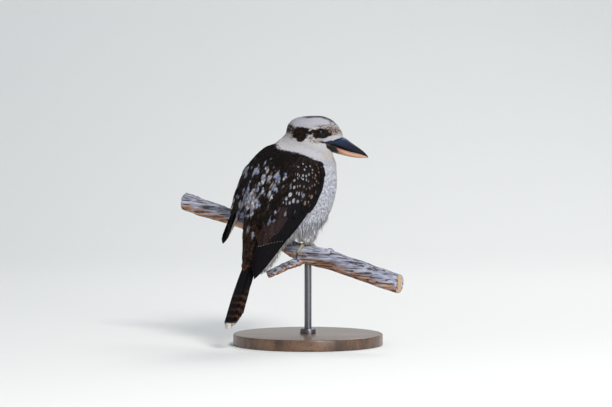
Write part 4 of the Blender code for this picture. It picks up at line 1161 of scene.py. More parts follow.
# Rows of wing feathers: name, count, root along, root across from and to, tip along from and to,
# tip across from and to, half width, height at the root and at the tip, tilt
WING_ROWS = [
    ("edge", 2, 0.46, 0.055, 0.060, 0.70, 0.86, 0.050, 0.055, 0.0010, 0.0006, 0.0006, 0.26),
    ("primary", 10, 0.42, 0.09, 0.46, 1.00, 0.93, 0.12, 0.74, 0.0056, 0.0014, 0.0010, 0.26),
    ("secondary", 10, 0.34, 0.10, 0.66, 0.66, 0.79, 0.13, 0.72, 0.0070, 0.0026, 0.0038, 0.16),
    ("tertial", 5, 0.32, 0.42, 0.68, 0.66, 0.66, 0.44, 0.74, 0.0076, 0.0036, 0.0046, 0.14),
    ("greater", 12, 0.25, 0.07, 0.70, 0.46, 0.55, 0.06, 0.72, 0.0064, 0.0036, 0.0056, 0.15),
    ("median_b", 13, 0.19, 0.08, 0.70, 0.38, 0.47, 0.06, 0.73, 0.0058, 0.0040, 0.0062, 0.14),
    ("median_a", 13, 0.13, 0.08, 0.70, 0.30, 0.39, 0.06, 0.72, 0.0054, 0.0042, 0.0066, 0.14),
    ("lesser_d", 14, 0.10, 0.08, 0.70, 0.24, 0.32, 0.07, 0.72, 0.0046, 0.0040, 0.0068, 0.14),
    ("lesser_c", 14, 0.07, 0.08, 0.70, 0.19, 0.26, 0.07, 0.72, 0.0043, 0.0040, 0.0070, 0.14),
    ("lesser_b", 13, 0.04, 0.09, 0.68, 0.14, 0.20, 0.08, 0.70, 0.0042, 0.0038, 0.0070, 0.14),
    ("lesser_a", 12, 0.01, 0.10, 0.68, 0.09, 0.14, 0.09, 0.70, 0.0042, 0.0034, 0.0068, 0.14),
]

# The left wing's own edge row, which shows on its near side: root along to height at the tip, as above
LEFT_EDGE = (0.54, 0.66, 0.70, 0.80, 0.86, 0.62, 0.66, 0.0030, -0.0034, -0.0030)

# How far single feathers stray from their row: by kind, and for all other kinds
STRAY = {"primary": 0.3, "secondary": 0.25}
OTHER_STRAY = 1.5

# How much more the left wing's edge and primaries stand on edge, and the share of a vane's length from
# which it narrows to its tip: the left wing's primaries are pointed, all others blunt
LEFT_TWIST = 0.45
POINTED = 0.30
BLUNT = 0.62


class Sheet:
    """A wing's surface: along, 0 at the wrist to 1 at the tip, and across, 0 low to 1 at the spine."""

    def __init__(self, lower, upper, torso_tree, mirror):
        self.lower, self.upper = lower, upper
        self.tree = torso_tree
        self.flip = Matrix.Diagonal((1, -1 if mirror else 1, 1, 1))
        self.inside = BODY @ self.flip @ Vector((-0.01, 0, 0.06))

    def place(self, share, across):
        low, high, back = (Vector(along(t, share)) for t in (self.lower, self.upper, BACK_LINE))
        if across < UPPER_SHARE:
            part = across / UPPER_SHARE
            out = Vector((-0.45, -1.0, 0.15)).normalized()
            local = low.lerp(high, part) + out * HUMP * part * (1 - part) * (1 - share * 0.6)
        else:
            local = high.lerp(back, (across - UPPER_SHARE) / (1 - UPPER_SHARE))
        point = BODY @ self.flip @ local
        near, normal, _, _ = self.tree.find_nearest(point)
        clear = near + normal * SHEET_CLEAR
        point = clear.lerp(point, float(smooth(-0.05, 0.15, share)))
        return clear if (point - near).dot(normal) < SHEET_CLEAR else point

    def frame(self, share, across):
        """A point of the sheet and the normal there, away from the body."""
        step = 0.02
        point = self.place(share, across)
        a = self.place(min(share + step, 1), across) - self.place(max(share - step, 0), across)
        b = self.place(share, min(across + step, 1)) - self.place(share, max(across - step, 0))
        normal = a.cross(b).normalized()
        if normal.dot(point - self.inside) < 0:
            normal.negate()
        return point, normal


VANE_COLUMNS = 7
VANE_ROWS = 13
VANE_SHARES = np.linspace(0, 1, VANE_ROWS)
VANE_THICKNESS = 0.22 * MM
SHAFT_RISE = 0.10 * MM
RAGGED = 0.06
BAR_PITCH = 0.0098


def vane_outline(u, blunt):
    """Half width of a vane at this share of its length: narrow root, full middle, rounded tip."""
    root = 0.45 + 0.55 * min(u / 0.35, 1.0) ** 0.8
    tip = max(1 - max((u - blunt) / (1 - blunt), 0) ** 2.2, 0) ** 0.5
    return root * (0.06 + 0.94 * tip)


def vane_quads():
    """Faces of one vane: its upper side, its underside and its rim."""
    rows, columns = VANE_ROWS, VANE_COLUMNS
    top, under = np.arange(2 * rows * columns).reshape(2, rows, columns)
    quads = []
    for r in range(rows - 1):
        for c in range(columns - 1):
            quads.append((top[r, c], top[r, c + 1], top[r + 1, c + 1], top[r + 1, c]))
            quads.append((under[r, c], under[r + 1, c], under[r + 1, c + 1], under[r, c + 1]))
    rim = [(r, 0) for r in range(rows)] + [(rows - 1, c) for c in range(1, columns)]
    rim += [(r, columns - 1) for r in range(rows - 2, -1, -1)] + [(0, c) for c in range(columns - 2, 0, -1)]
    quads += [(top[a], top[b], under[b], under[a]) for a, b in zip(rim, rim[1:] + rim[:1])]
    return np.array(quads)


class Vanes:
    """Gathers long feathers, each a thin curved plate with its own colours, into one mesh."""

    # What each feather's look needs: the pale patch with its narrowness, shortness and torn edge, the pale
    # tip and where it starts, and the strength of the bars
    VALUES = ("spot", "narrow", "short", "torn", "tip", "tip_from", "bars")

    def __init__(self, cells):
        self.cells = cells
        self.quads = vane_quads()
        self.points, self.faces, self.uv, self.bake, self.down, self.styles = [], [], [], [], [], []

    def add(self, stations, half, style, blunt=BLUNT, camber=0.10):
        """Stations: a point, the way to the side and the normal, at each of VANE_SHARES."""
        x = np.linspace(-1, 1, VANE_COLUMNS)
        seed = chance.random() * 50
        grid = np.empty((2, VANE_ROWS, VANE_COLUMNS, 3))
        for r, (u, station) in enumerate(zip(VANE_SHARES, stations)):
            point, side, normal = (np.array(vector) for vector in station)
            tooth = [noise.noise(Vector((u * 9, s * 3, seed))) for s in (-1, 1)]
            offset = x * vane_outline(u, blunt) * half * (1 + RAGGED * 2 * np.where(x < 0, *tooth))
            bow = -camber * half * x * x + SHAFT_RISE * np.exp(-((x / 0.12) ** 2))
            slab = VANE_THICKNESS * (1 - 0.75 * x * x) * (1 - 0.5 * u)
            for layer, sign in ((0, 1), (1, -1)):
                grid[layer, r] = point + side * offset[:, None] + normal * (bow + sign * slab)[:, None]
        count = len(self.styles)
        self.faces.append(self.quads + count * 2 * VANE_ROWS * VANE_COLUMNS)
        self.points.append(grid.reshape(-1, 3))
        uv = np.tile(np.stack(np.meshgrid((x + 1) / 2, VANE_SHARES), -1).reshape(-1, 2), (2, 1))
        self.uv.append(uv)
        corner = np.array((count % self.cells, count // self.cells)) / self.cells
        self.bake.append(corner + (0.05 + 0.90 * uv) / self.cells)
        reach = (stations[-1][0] - stations[0][0]).length
        self.down.append(uv[:, 1] * reach / BAR_PITCH + style.get("phase", 0.0))
        self.styles.append(style)

    def finish(self, name, look, replaced):
        each = 2 * VANE_ROWS * VANE_COLUMNS
        values = {key: np.repeat([style[key] for style in self.styles], each, 0) for key in ("tint", "pale")}
        for key in self.VALUES:
            values[key] = np.repeat([style.get(key, 0.0) for style in self.styles], each)
        values["down"] = np.concatenate(self.down)
        maps = {"vane": np.concatenate(self.uv), "OFBake": np.concatenate(self.bake)}
        obj = fast_mesh(name, np.concatenate(self.points), np.concatenate(self.faces), maps, values)
        face_outwards(obj.data)
        return hand_over(obj, look, replaced)


# Each kind of wing feather: the pale patch's strength, narrowness, shortness and odds, and the pale tip
WING_KINDS = {
    "edge": (0.0, 3.0, 6.0, 0.0, 0.0),
    "primary": (0.0, 3.0, 6.0, 0.0, 0.10),
    "secondary": (0.0, 3.0, 6.0, 0.0, 0.55),
    "tertial": (0.0, 2.4, 3.5, 0.0, 0.3),
    "greater": (0.6, 4.4, 12.0, 0.35, 0.1),
    "median": (0.9, 3.8, 13.0, 0.9, 0.0),
    "lesser": (0.8, 4.4, 13.0, 0.85, 0.0),
}


def wing_style(kind, across, left):
    """A wing feather's colours by its row and its place across the wing."""
    spot, narrow, short, odds, tip = WING_KINDS[kind]
    luck = chance.random()
    low = float(smooth(0.20, 0.10, across))
    tint = MANTLE * (0.8 + 0.7 * luck)
    if kind in ("secondary", "tertial", "greater"):
        brown = float(smooth(0.30, 0.55, across)) * (0.25 if left else 1.0)
        tint = toward(FLIGHT, toward(MANTLE, PLUM, 0.5 * luck), brown)
    elif kind == "primary":
        tint = FLIGHT
    tint = WHITE if kind == "edge" else toward(tint, FLIGHT, low)
    pale = toward(SPOT_WHITE, PALE_BLUE, chance.random()) * (0.45 + 0.5 * smooth(0.3, 0.6, across))
    size = chance.uniform(0.8, 1.35)
    if kind == "lesser" or kind == "median" and across < 0.30:
        pale = toward(pale, TAN * 1.3, 0.75 * smooth(0.36, 0.2, across))
    amount = spot * (1 - low) * float(chance.random() < odds) * chance.uniform(0.5, 1.0)
    if kind in ("primary", "secondary", "tertial"):
        pale = EDGE_CREAM
    torn = 0.8 if kind == "greater" else 0.3
    return {
        "tint": tint, "pale": pale, "spot": amount, "narrow": narrow * size, "short": short * size,
        "torn": torn, "tip": tip, "tip_from": 0.972,
    }


def wing_stations(spots, left, twist, low, high):
    """Where a feather lies over the points and normals of its wing, twisted and rising from low to high."""
    stations = []
    for k, (point, normal) in enumerate(spots):
        ahead = spots[min(k + 1, VANE_ROWS - 1)][0] - spots[max(k - 1, 0)][0]
        across = ahead.cross(normal).normalized()
        if left:
            across.negate()
        lean = Matrix.Rotation(twist if left else -twist, 3, ahead.normalized())
        stations.append((point + normal * toward(low, high, VANE_SHARES[k]), lean @ across, lean @ normal))
    return stations


def make_wing(side, tree, look):
    left = side == "left"
    sheet = Sheet(LEFT_LOWER if left else RIGHT_LOWER, LEFT_UPPER if left else RIGHT_UPPER, tree, left)
    vanes = Vanes(14)
    for name, count, *places, tilt in WING_ROWS:
        kind = name.split("_")[0]
        stray = STRAY.get(kind, OTHER_STRAY)
        on_edge = LEFT_TWIST if left and kind in ("edge", "primary") else 0.0
        blunt = POINTED if left and kind == "primary" else BLUNT
        if left and kind == "edge":
            places = LEFT_EDGE
        root_along, root_a, root_b, tip_a, tip_b, across_a, across_b, half, low, high = places
        for i in range(count):
            share = i / (count - 1)
            root = Vector((root_along, toward(root_a, root_b, share)))
            tip = Vector((
                toward(tip_a, tip_b, share) + stray * 0.012 * chance.normal(),
                toward(across_a, across_b, share) + stray * 0.010 * chance.normal(),
            ))
            spots = [sheet.frame(*root.lerp(tip, u)) for u in VANE_SHARES]
            twist = tilt * chance.uniform(0.7, 1.3) + on_edge
            stations = wing_stations(spots, left, twist, low, high)
            style = wing_style(kind, (root[1] + tip[1]) / 2, left)
            vanes.add(stations, half * chance.uniform(0.92, 1.10), style, blunt)
    vanes.finish("wing_feathers_" + side, look, ("wing_" + side,))


# Cape: mantle and scapulars, one coat of feathers over the back from wing to wing

CAPE_ROWS, CAPE_COLUMNS = 30, 41
CAPE_TOP_ROWS, CAPE_END_ROWS = 3, 5
CAPE_ROUNDS = 20


def cape_form(torso, skin):
    """Points of a smooth surface over the back: rows run down the back, columns from right to left."""
    right = Sheet(RIGHT_LOWER, RIGHT_UPPER, torso, False)
    left = Sheet(LEFT_LOWER, LEFT_UPPER, torso, True)
    grid = np.empty((CAPE_ROWS, CAPE_COLUMNS, 3))
    out = np.empty_like(grid)
    for j in range(CAPE_COLUMNS):
        turn = 2 * j / (CAPE_COLUMNS - 1) - 1
        across = 1 - 0.34 * abs(turn)
        rise = (4.0 + 3.5 * smooth(0.95, 0.7, across)) * MM
        end = 0.84 - 0.20 * abs(turn)
        for i in range(CAPE_TOP_ROWS, CAPE_ROWS):
            share = end * (i - CAPE_TOP_ROWS) / (CAPE_ROWS - 1 - CAPE_TOP_ROWS)
            point, normal = (right if turn < 0 else left).frame(share, across)
            lump = 2.2 * MM * noise.noise(point * 62)
            lift = (rise + lump) * smooth(0.0, 0.2, share) - 2.8 * MM * smooth(0.12, 0.0, share)
            grid[i, j] = point + normal * float(lift)
            out[i, j] = normal
        first = grid[CAPE_TOP_ROWS, j]
        up = unit(first - grid[CAPE_TOP_ROWS + 2, j])
        for i in range(CAPE_TOP_ROWS):
            reach = 7 * MM * (CAPE_TOP_ROWS - i) / CAPE_TOP_ROWS
            spot, normal, _, _ = skin.find_nearest(Vector(first + up * reach))
            grid[i, j] = spot + normal * 0.4 * MM
            out[i, j] = normal
    start = grid.copy()
    for _ in range(CAPE_ROUNDS):
        grid[1:-1, 1:-1] = (grid[:-2, 1:-1] + grid[2:, 1:-1] + grid[1:-1, :-2] + grid[1:-1, 2:]) / 4
        sunk = np.minimum(((grid - start) * out).sum(-1), 0)
        grid -= out * sunk[..., None]
    return grid


def cape_sizes(points):
    """As feather_sizes, for the cape: small at the nape, longer down the back."""
    down = smooth(135, 85, into(TO_BODY, points)[:, 2])
    length = (11.0 + 6.0 * down) * MM
    width = (2.8 + 0.9 * down) * MM
    return length, width, np.full(len(points), 2.4 * MM), np.full(len(points), 5.0)


def make_cape(torso, skin):
    grid = cape_form(torso, skin)
    corner = np.arange(CAPE_ROWS * CAPE_COLUMNS).reshape(CAPE_ROWS, CAPE_COLUMNS)
    a, b = corner[:-1, :-1].ravel(), corner[:-1, 1:].ravel()
    c, d = corner[1:, 1:].ravel(), corner[1:, :-1].ravel()
    faces = np.stack([np.stack([a, b, c], 1), np.stack([a, c, d], 1)], 1).reshape(-1, 3)
    form = fast_mesh("cape_form", grid.reshape(-1, 3), faces)
    tree = tree_of(form)
    roots = scatter(form, CAPE_TRIES, cape_sizes)
    bpy.data.objects.remove(form)

    # No roots in the last rows, whose place is for the feathers' ends, nor above the mantle's edge
    row = np.array([tree.find_nearest(Vector(root))[2] // (2 * (CAPE_COLUMNS - 1)) for root in roots])
    roots = roots[row < CAPE_ROWS - 1 - CAPE_END_ROWS]
    bx, by, bz = into(TO_BODY, roots).T
    roots = roots[bz < mantle_edge(bx, by) + 3]
    places = grid.reshape(-1, 3)[::2]
    ways = unit(np.gradient(grid, axis=0)).reshape(-1, 3)[::2]

    def down_the_back(points, normals):
        return lie_at(points, normals, places, ways)

    look = coat_look("mantle_coat", 0.30, 1.20, 420.0)
    loose = chance.uniform(0.0, 0.3, len(roots)) + 0.5 * (chance.random(len(roots)) < 0.14)
    kind = loose_feather()
    grow_coat("coat_cape", roots, tree, look, kind, loose, 1.0, cape_sizes, down_the_back, True)


# Tail

TAIL_ROOT = Vector((-0.066, 0, 0.021))
TAIL_LEAN = math.radians(24)
TAIL_LENGTH = 0.149
TAIL_AXIS = Vector((-math.sin(TAIL_LEAN), 0, -math.cos(TAIL_LEAN)))
TAIL_BACK = Vector((-math.cos(TAIL_LEAN), 0, math.sin(TAIL_LEAN)))

# Coverts at the tail's root: place to the right, end down the tail, and height over it, negative under it
TAIL_COVERTS = [
    (0.0001, 0.064, 0.0066), (0.0060, 0.057, 0.0060), (-0.0060, 0.059, 0.0060),
    (0.0030, 0.052, 0.0072), (-0.0034, 0.048, 0.0074), (0.0078, 0.048, 0.0048), (-0.0080, 0.049, 0.0048),
    (0.0001, 0.084, -0.0088), (0.0062, 0.078, -0.0080), (-0.0062, 0.080, -0.0080),
    (0.0030, 0.073, -0.0092), (-0.0034, 0.076, -0.0092),
]


def tail_station(down, right, raised, roll):
    """A place on the tail, with the ways to the side and out of a feather rolled this much."""
    side = Vector((0, -math.cos(roll), 0)) - TAIL_BACK * math.sin(roll)
    normal = TAIL_BACK * math.cos(roll) + Vector((0, -math.sin(roll), 0))
    point = BODY @ (TAIL_ROOT + TAIL_AXIS * down + Vector((0, -right, 0)) + TAIL_BACK * raised)
    return point, BODY.to_3x3() @ side, BODY.to_3x3() @ normal


def make_tail(look):
    vanes = Vanes(6)
    level = 0
    for pair in range(6):
        for sign in (1, -1):
            right = sign * (0.0056 + 0.0005 * pair if pair else 0.0016)
            end = TAIL_LENGTH - 0.0018 * pair**1.5
            raised = 0.0034 - 0.00112 * level
            roll = sign * math.radians(2.5) * (pair + 0.5)
            stations = []
            for u in VANE_SHARES:
                out = right * (0.85 + 0.15 * u) + math.copysign(0.0003 * pair, right) * u
                lift = raised + 0.0015 * math.sin(math.pi * u)
                stations.append(tail_station(toward(0.040, end, u), out, lift, roll))
            # The bars are painted faint on the left half and the middle pair, which lie in shade, and strong
            # on the right half, which the light catches
            style = {
                "tint": FLIGHT * 1.2, "pale": TAIL_WHITE, "tip": 1.0, "tip_from": 0.915,
                "bars": 0.35 if sign < 0 or pair == 0 else 0.9, "phase": 0.3 + 0.20 * (pair % 2),
            }
            vanes.add(stations, 0.0052 if pair else 0.0066, style, 0.9, 0.06)
            if pair == 0:
                level += 1
        level += 1
    for right, end, raised in TAIL_COVERTS:
        under = raised < 0
        roll = math.radians(28) * right / 0.007 * (-1 if under else 1)
        stations = [
            tail_station(toward(0.030, end, u), right * (0.6 + 0.4 * u), raised * (1 - 0.15 * u), roll)
            for u in VANE_SHARES
        ]
        tint = WHITE * 0.95 if under else MANTLE * 0.7 + RUFOUS * chance.uniform(0.0, 0.5)
        style = {"tint": tint, "pale": RUFOUS * 2, "tip": 0.0 if under else 0.8, "tip_from": 0.93}
        vanes.add(stations, 0.0060, style, 0.7)
    vanes.finish("tail_feathers", look, ("tail",))


# Feet and perch

# The branch: world X, how far its middle lies below BRANCH_LEVEL, and its radius
BRANCH = [
    (-0.176, -0.0366, 0.0128), (-0.150, -0.0279, 0.0124), (-0.114, -0.0187, 0.0116),
    (-0.074, -0.0042, 0.0107), (-0.034, 0.0176, 0.0104), (-0.010, 0.0298, 0.0126),
    (0.008, 0.0340, 0.0140), (0.026, 0.0374, 0.0138), (0.050, 0.0442, 0.0134),
    (0.075, 0.0518, 0.0136), (0.100, 0.0602, 0.0134), (0.126, 0.0677, 0.0132),
]
BRANCH_TILT = math.tan(math.radians(-32))
BRANCH_LEVEL = FEET_HEIGHT + 0.0155
GAP = 0.3 * MM

# Each foot's place along the branch, as world X, and its ankle in the body frame
FEET_PLACES = {
    "right": (-0.005, (-0.004, -0.018, 0.026)),
    "left": (-0.037, (-0.004, 0.019, 0.032)),
}

# Toes: shift along the branch, how far they reach round it in degrees, shift of the tip, radius
TOES = [
    (-0.0065, 88, -0.0010, 0.0024),
    (0.0005, 104, 0.0030, 0.0027),
    (0.0060, 92, 0.0060, 0.0025),
    (-0.0010, -84, -0.0010, 0.0026),
]
TOE_STEPS = 56
TOE_SCUTES = 15
TOE_SIDES = 14
CLAW_STEPS = 16
CLAW_SIDES = 12
CLAW_ARC = 43
SHANK_STEPS = 24


def branch_row(x):
    """The branch's row at this X, on a smooth curve through the table."""
    for i in range(len(BRANCH) - 1):
        if x <= BRANCH[i + 1][0]:
            break
    u = (x - BRANCH[i][0]) / (BRANCH[i + 1][0] - BRANCH[i][0])
    return along(BRANCH, (i + u) / (len(BRANCH) - 1))


def branch_point(x):
    return Vector((x, x * BRANCH_TILT, BRANCH_LEVEL - branch_row(x)[1]))


def on_perch(x, angle, height):
    """A point over the branch's bark, this far round it from the top towards the bird's front."""
    axis = (branch_point(x + 0.002) - branch_point(x - 0.002)).normalized()
    up = (Vector((0, 0, 1)) - axis * axis.z).normalized()
    out = up * math.cos(angle) + up.cross(axis) * math.sin(angle)
    return branch_point(x) + out * (branch_row(x)[2] + height)


def tube_parts(points, radii, sides, flatten=1.0):
    """Points and faces of a closed round skin along a path."""
    across = None
    made = []
    for k, point in enumerate(points):
        ahead = (points[min(k + 1, len(points) - 1)] - points[max(k - 1, 0)]).normalized()
        if across is None:
            across = ahead.orthogonal().normalized()
        across = (across - ahead * ahead.dot(across)).normalized()
        other = ahead.cross(across)
        for i in range(sides):
            a = 2 * math.pi * i / sides
            made.append(point + across * radii[k] * math.cos(a) + other * radii[k] * math.sin(a) * flatten)
    faces = loft_faces(len(points), sides)
    faces.append(tuple(range(sides - 1, -1, -1)))
    faces.append(tuple((len(points) - 1) * sides + i for i in range(sides)))
    return made, faces


def joined(name, tubes):
    points, faces = [], []
    for made, shape in tubes:
        base = len(points)
        points += made
        faces += [tuple(base + i for i in face) for face in shape]
    mesh = bpy.data.meshes.new(name)
    mesh.from_pydata(points, [], faces)
    face_outwards(mesh)
    mesh.shade_smooth()
    return new_object(name, mesh)


def foot_look():
    look = Look("foot_skin", Roughness=0.55, Specular_IOR_Level=0.45)
    cells = Amount(look, look.add("ShaderNodeTexVoronoi", {"Scale": 950.0}).outputs["Distance"])
    colour = look.mix(look.step(look.noise(160.0), 0.35, 0.65), (0.30, 0.31, 0.26), (0.60, 0.50, 0.28))
    look.paint(look.mix(look.step(cells, 0.35, 0.75) * 0.7, colour, (0.13, 0.13, 0.10)))
    look.relief(1 - cells, 0.0005, 0.6)
    return look.material


def claw_look():
    look = Look("claw_black", Roughness=0.32, Specular_IOR_Level=0.5)
    streak = look.noise(300.0)
    look.paint(look.mix(streak, (0.010, 0.009, 0.009), (0.055, 0.045, 0.038)))
    look.relief(streak, 0.0002, 0.4)
    return look.material


def toe(x_start, x_end, reach, radius):
    """A toe round the branch, with joints and scutes, thinner to its end."""
    points, radii = [], []
    for k in range(TOE_STEPS):
        u = k / (TOE_STEPS - 1)
        thick = radius * (1 - 0.28 * u) * (1 + 0.12 * math.cos(2 * math.pi * u * 2.5))
        plate = (u * TOE_SCUTES) % 1.0
        end = min(1.0, (1 - u) / 0.05 + 0.35)
        points.append(on_perch(toward(x_start, x_end, u), math.radians(reach) * u, GAP + thick * 0.92))
        radii.append(thick * (1 + 0.06 * (1 - plate)) * end * (0.6 if k == 0 else 1.0))
    return tube_parts(points, radii, TOE_SIDES)


def claw(x, reach):
    """A claw on from the toe's end, curved and pointed."""
    start = math.radians(reach) + math.copysign(math.radians(1), reach)
    points, radii = [], []
    for k in range(CLAW_STEPS):
        u = k / (CLAW_STEPS - 1)
        angle = start + math.copysign(math.radians(CLAW_ARC) * u, reach)
        thick = max(1.6 * MM * (1 - u) ** 0.8, 0.12 * MM)
        points.append(on_perch(x, angle, 2 * GAP + thick + MM * math.sin(math.pi * u)))
        radii.append(thick)
    return tube_parts(points, radii, CLAW_SIDES, 0.8)


def make_feet():
    skin, horn = foot_look(), claw_look()
    for side, (home_x, knee) in FEET_PLACES.items():
        tubes, claws = [], []
        for shift, reach, length_x, radius in TOES:
            x_end = home_x + shift + length_x * (1 if side == "right" else 0.4)
            tubes.append(toe(home_x + shift * 0.35, x_end, reach, radius))
            claws.append(claw(x_end, reach))
        palm = on_perch(home_x, 0, 0.0030)
        ankle = BODY @ Vector(knee)
        last = SHANK_STEPS - 1
        path = [palm.lerp(ankle, k / last) for k in range(SHANK_STEPS)]
        radii = [
            (2.4 + 0.7 * abs(2 * k / last - 1) ** 2) * MM * (1 + 0.05 * (k % 3 == 0))
            for k in range(SHANK_STEPS)
        ]
        tubes.append(tube_parts(path, radii, TOE_SIDES))
        pad = [palm + Vector((0, 0, (k / 6 - 0.5) * 7 * MM)) for k in range(7)]
        radii = [4.8 * MM * math.sin(math.pi * (k + 0.6) / 7.2) for k in range(7)]
        tubes.append(tube_parts(pad, radii, TOE_SIDES))
        hand_over(joined("toes_" + side, tubes), skin, ("foot_" + side,))
        talons = joined("talons_" + side, claws)
        hand_over(talons, horn, tuple(f"claw_{side}_{n}" for n in range(1, 5)))


def bark_look():
    look = Look("weathered_bark", Roughness=0.85, Specular_IOR_Level=0.25)
    turn = (0, 0, math.radians(32))
    lines = look.noise(1.0, 6.0, look.stretched((30, 330, 330), turn), 0.62)
    broad = look.noise(1.0, 3.0, look.stretched((16, 90, 90), turn))
    tone = look.step(broad, 0.3, 0.7)
    grey = look.mix(tone, (0.16, 0.17, 0.22), (0.42, 0.44, 0.56))
    brown = look.mix(tone, (0.30, 0.13, 0.06), (0.60, 0.36, 0.22))
    # Facing down the bark turns warm brown: its own brown together with painted warm bounce light from
    # below; facing up it is grey
    up = look.split(look.add("ShaderNodeNewGeometry").outputs["Normal"])[2]
    colour = look.mix(1 - look.step(up, -0.55, 0.05), grey, brown)
    colour = look.mix(look.step(up + (broad * 0.7 - 0.35), -0.05, -0.45), colour, brown)
    # The furrows are painted near black: painted shade in them, over their darker bark
    furrow_shade = 1 - look.step(lines, 0.42, 0.49)
    colour = look.mix(furrow_shade * 0.92, colour, (0.035, 0.024, 0.022))
    colour = look.mix(look.step(lines, 0.56, 0.63) * 0.7, colour, (0.62, 0.62, 0.68))

    # Sawn ends show wood with rings
    sawn = look.amount("sawn")
    rings = look.maths("SINE", look.amount("depth") * 9.0)
    wood = look.mix(look.step(rings, -0.4, 0.6), (0.42, 0.27, 0.15), (0.62, 0.45, 0.28))
    colour = look.mix(sawn, colour, wood)
    look.paint(look.mix(look.noise(2400.0, 2.0) * 0.25, colour, (0.10, 0.08, 0.075)))
    look.relief(lines * (1 - sawn), 0.0012, 0.8)
    return look.material


def make_perch():
    """The branch with furrows cut into its bark and sawn ends."""
    branch = fused("branch", ("perch_branch",), 0.0, 1.1 * MM, 3)
    points, normals = read_points(branch), read_points(branch, "normal")
    way = Vector((1, BRANCH_TILT, 0)).normalized()
    across = Vector((-way.y, way.x, 0))
    moved = points.copy()
    sawn, depth = np.zeros(len(points)), np.zeros(len(points))
    for i, (point, normal) in enumerate(zip(points, normals)):
        p = Vector(point)
        run, off, up = p.dot(way), p.dot(across), p.z
        end = min(abs(p.x - BRANCH[0][0]), abs(p.x - BRANCH[-1][0]))
        flat = abs(normal[0] * way.x + normal[1] * way.y)
        depth[i] = (p - branch_point(p.x)).length * 1000
        if end < 2.5 * MM and flat > 0.75:
            sawn[i] = 1.0
            continue
        ridge = 1 - abs(noise.noise(Vector((run * 28, off * 210, up * 210)))) * 2.4
        fine = noise.noise(Vector((run * 150, off * 620, up * 620)))
        lump = noise.noise(p * 55)
        moved[i] = point + normal * (0.75 * ridge - 0.40 + 0.25 * fine + 0.7 * lump) * MM
    set_points(branch, moved)
    add_values(branch.data, "sawn", sawn)
    add_values(branch.data, "depth", depth)
    branch.data.shade_smooth()
    hand_over(branch, bark_look(), ("perch_branch",))


# Stand

BASE_RADIUS = 0.105
BASE_HEIGHT = 0.016
BASE_EDGE = 0.002
ROD_RADIUS = 0.005
COLLAR_RADIUS = 0.011
COLLAR_HEIGHT = 0.007
COLLAR_EDGE = 0.0022


def arc(x, z, radius, start, end, steps):
    """Points of an arc round x and z, from one angle to another in degrees."""
    angles = [math.radians(toward(start, end, k / steps)) for k in range(steps + 1)]
    return [(x + radius * math.cos(angle), z + radius * math.sin(angle)) for angle in angles]


def turned(name, profile, steps):
    """A closed solid turned round the upright axis from a profile of radius and height."""
    mesh = bpy.data.meshes.new(name)
    edges = [(i, i + 1) for i in range(len(profile) - 1)]
    if profile[0][0] > 0 and profile[-1][0] > 0:
        edges.append((len(profile) - 1, 0))
    mesh.from_pydata([(radius, 0, z) for radius, z in profile], edges, [])
    obj = new_object(name, mesh)
    turn = obj.modifiers.new("turn", "SCREW")
    turn.steps = steps
    turn.render_steps = steps
    turn.use_merge_vertices = True
    turn.merge_threshold = 0.00001
    apply_modifiers(obj)
    face_outwards(obj.data)
    obj.data.shade_smooth()
    obj.data.set_sharp_from_angle(angle=math.radians(35))
    return obj


def wood_look():
    look = Look("stand_wood", Roughness=0.38, Specular_IOR_Level=0.5, Coat_Weight=0.35, Coat_Roughness=0.22)
    grain = look.noise(1.0, 6.0, look.stretched((6, 130, 30)), 0.6)
    pores = look.noise(1.0, 2.0, look.stretched((60, 1500, 400)))
    colour = look.mix(look.step(grain, 0.3, 0.72), (0.045, 0.022, 0.012), (0.16, 0.085, 0.045))
    look.paint(look.mix(look.step(pores, 0.58, 0.66) * 0.7, colour, (0.018, 0.009, 0.006)))
    look.relief(grain + pores, 0.0002, 0.25)
    return look.material


def steel_look():
    look = Look("stand_steel", Roughness=0.34, Metallic=1.0)
    brushed = look.noise(1.0, 3.0, look.stretched((1500, 1500, 60)))
    look.paint(look.mix(brushed, (0.10, 0.10, 0.11), (0.22, 0.22, 0.235)))
    look.roughen(brushed * 0.2 + 0.24)
    look.relief(brushed, 0.00005, 0.5)
    return look.material


def make_stand():
    inside = BASE_RADIUS - BASE_EDGE
    rim = arc(inside, BASE_EDGE, BASE_EDGE, -90, 0, 6)
    rim += arc(inside, BASE_HEIGHT - BASE_EDGE, BASE_EDGE, 0, 90, 6)
    base = turned("base_disc", [(0.0, 0.0)] + rim + [(0.0, BASE_HEIGHT)], 160)
    hand_over(base, wood_look(), ("stand_base",))
    steel = steel_look()
    low = BASE_HEIGHT + GAP
    high = low + COLLAR_HEIGHT
    inner = ROD_RADIUS + GAP
    rim = arc(COLLAR_RADIUS - COLLAR_EDGE, high - COLLAR_EDGE, COLLAR_EDGE, 90, 0, 6)
    collar = turned("rod_collar", [(inner, high)] + rim + [(COLLAR_RADIUS, low), (inner, low)], 96)
    hand_over(collar, steel, ("stand_collar",))
    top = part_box("stand_rod")[1][2]
    rod = turned("rod", [(0.0, low), (ROD_RADIUS, low), (ROD_RADIUS, top), (0.0, top)], 64)
    hand_over(rod, steel, ("stand_rod",))


# Setting: floor, light and camera

# The floor runs this far before the bird and behind it, turns up with this radius to the wall's top, and
# reaches this far to each side
FLOOR_FRONT = -4.0
FLOOR_BACK = 1.6
FLOOR_TURN = 1.6
WALL_TOP = 6.0
FLOOR_SIDE = 6.0

# The photograph's view: 1.4 mm to a pixel at the bird, seen from a little above
VIEW_TARGET = Vector((-0.0028, 0, FEET_HEIGHT + 0.055))
VIEW_RISE = math.radians(3)
VIEW_DISTANCE = 4.5
VIEW_SENSOR = 36
VIEW_LENS = 189

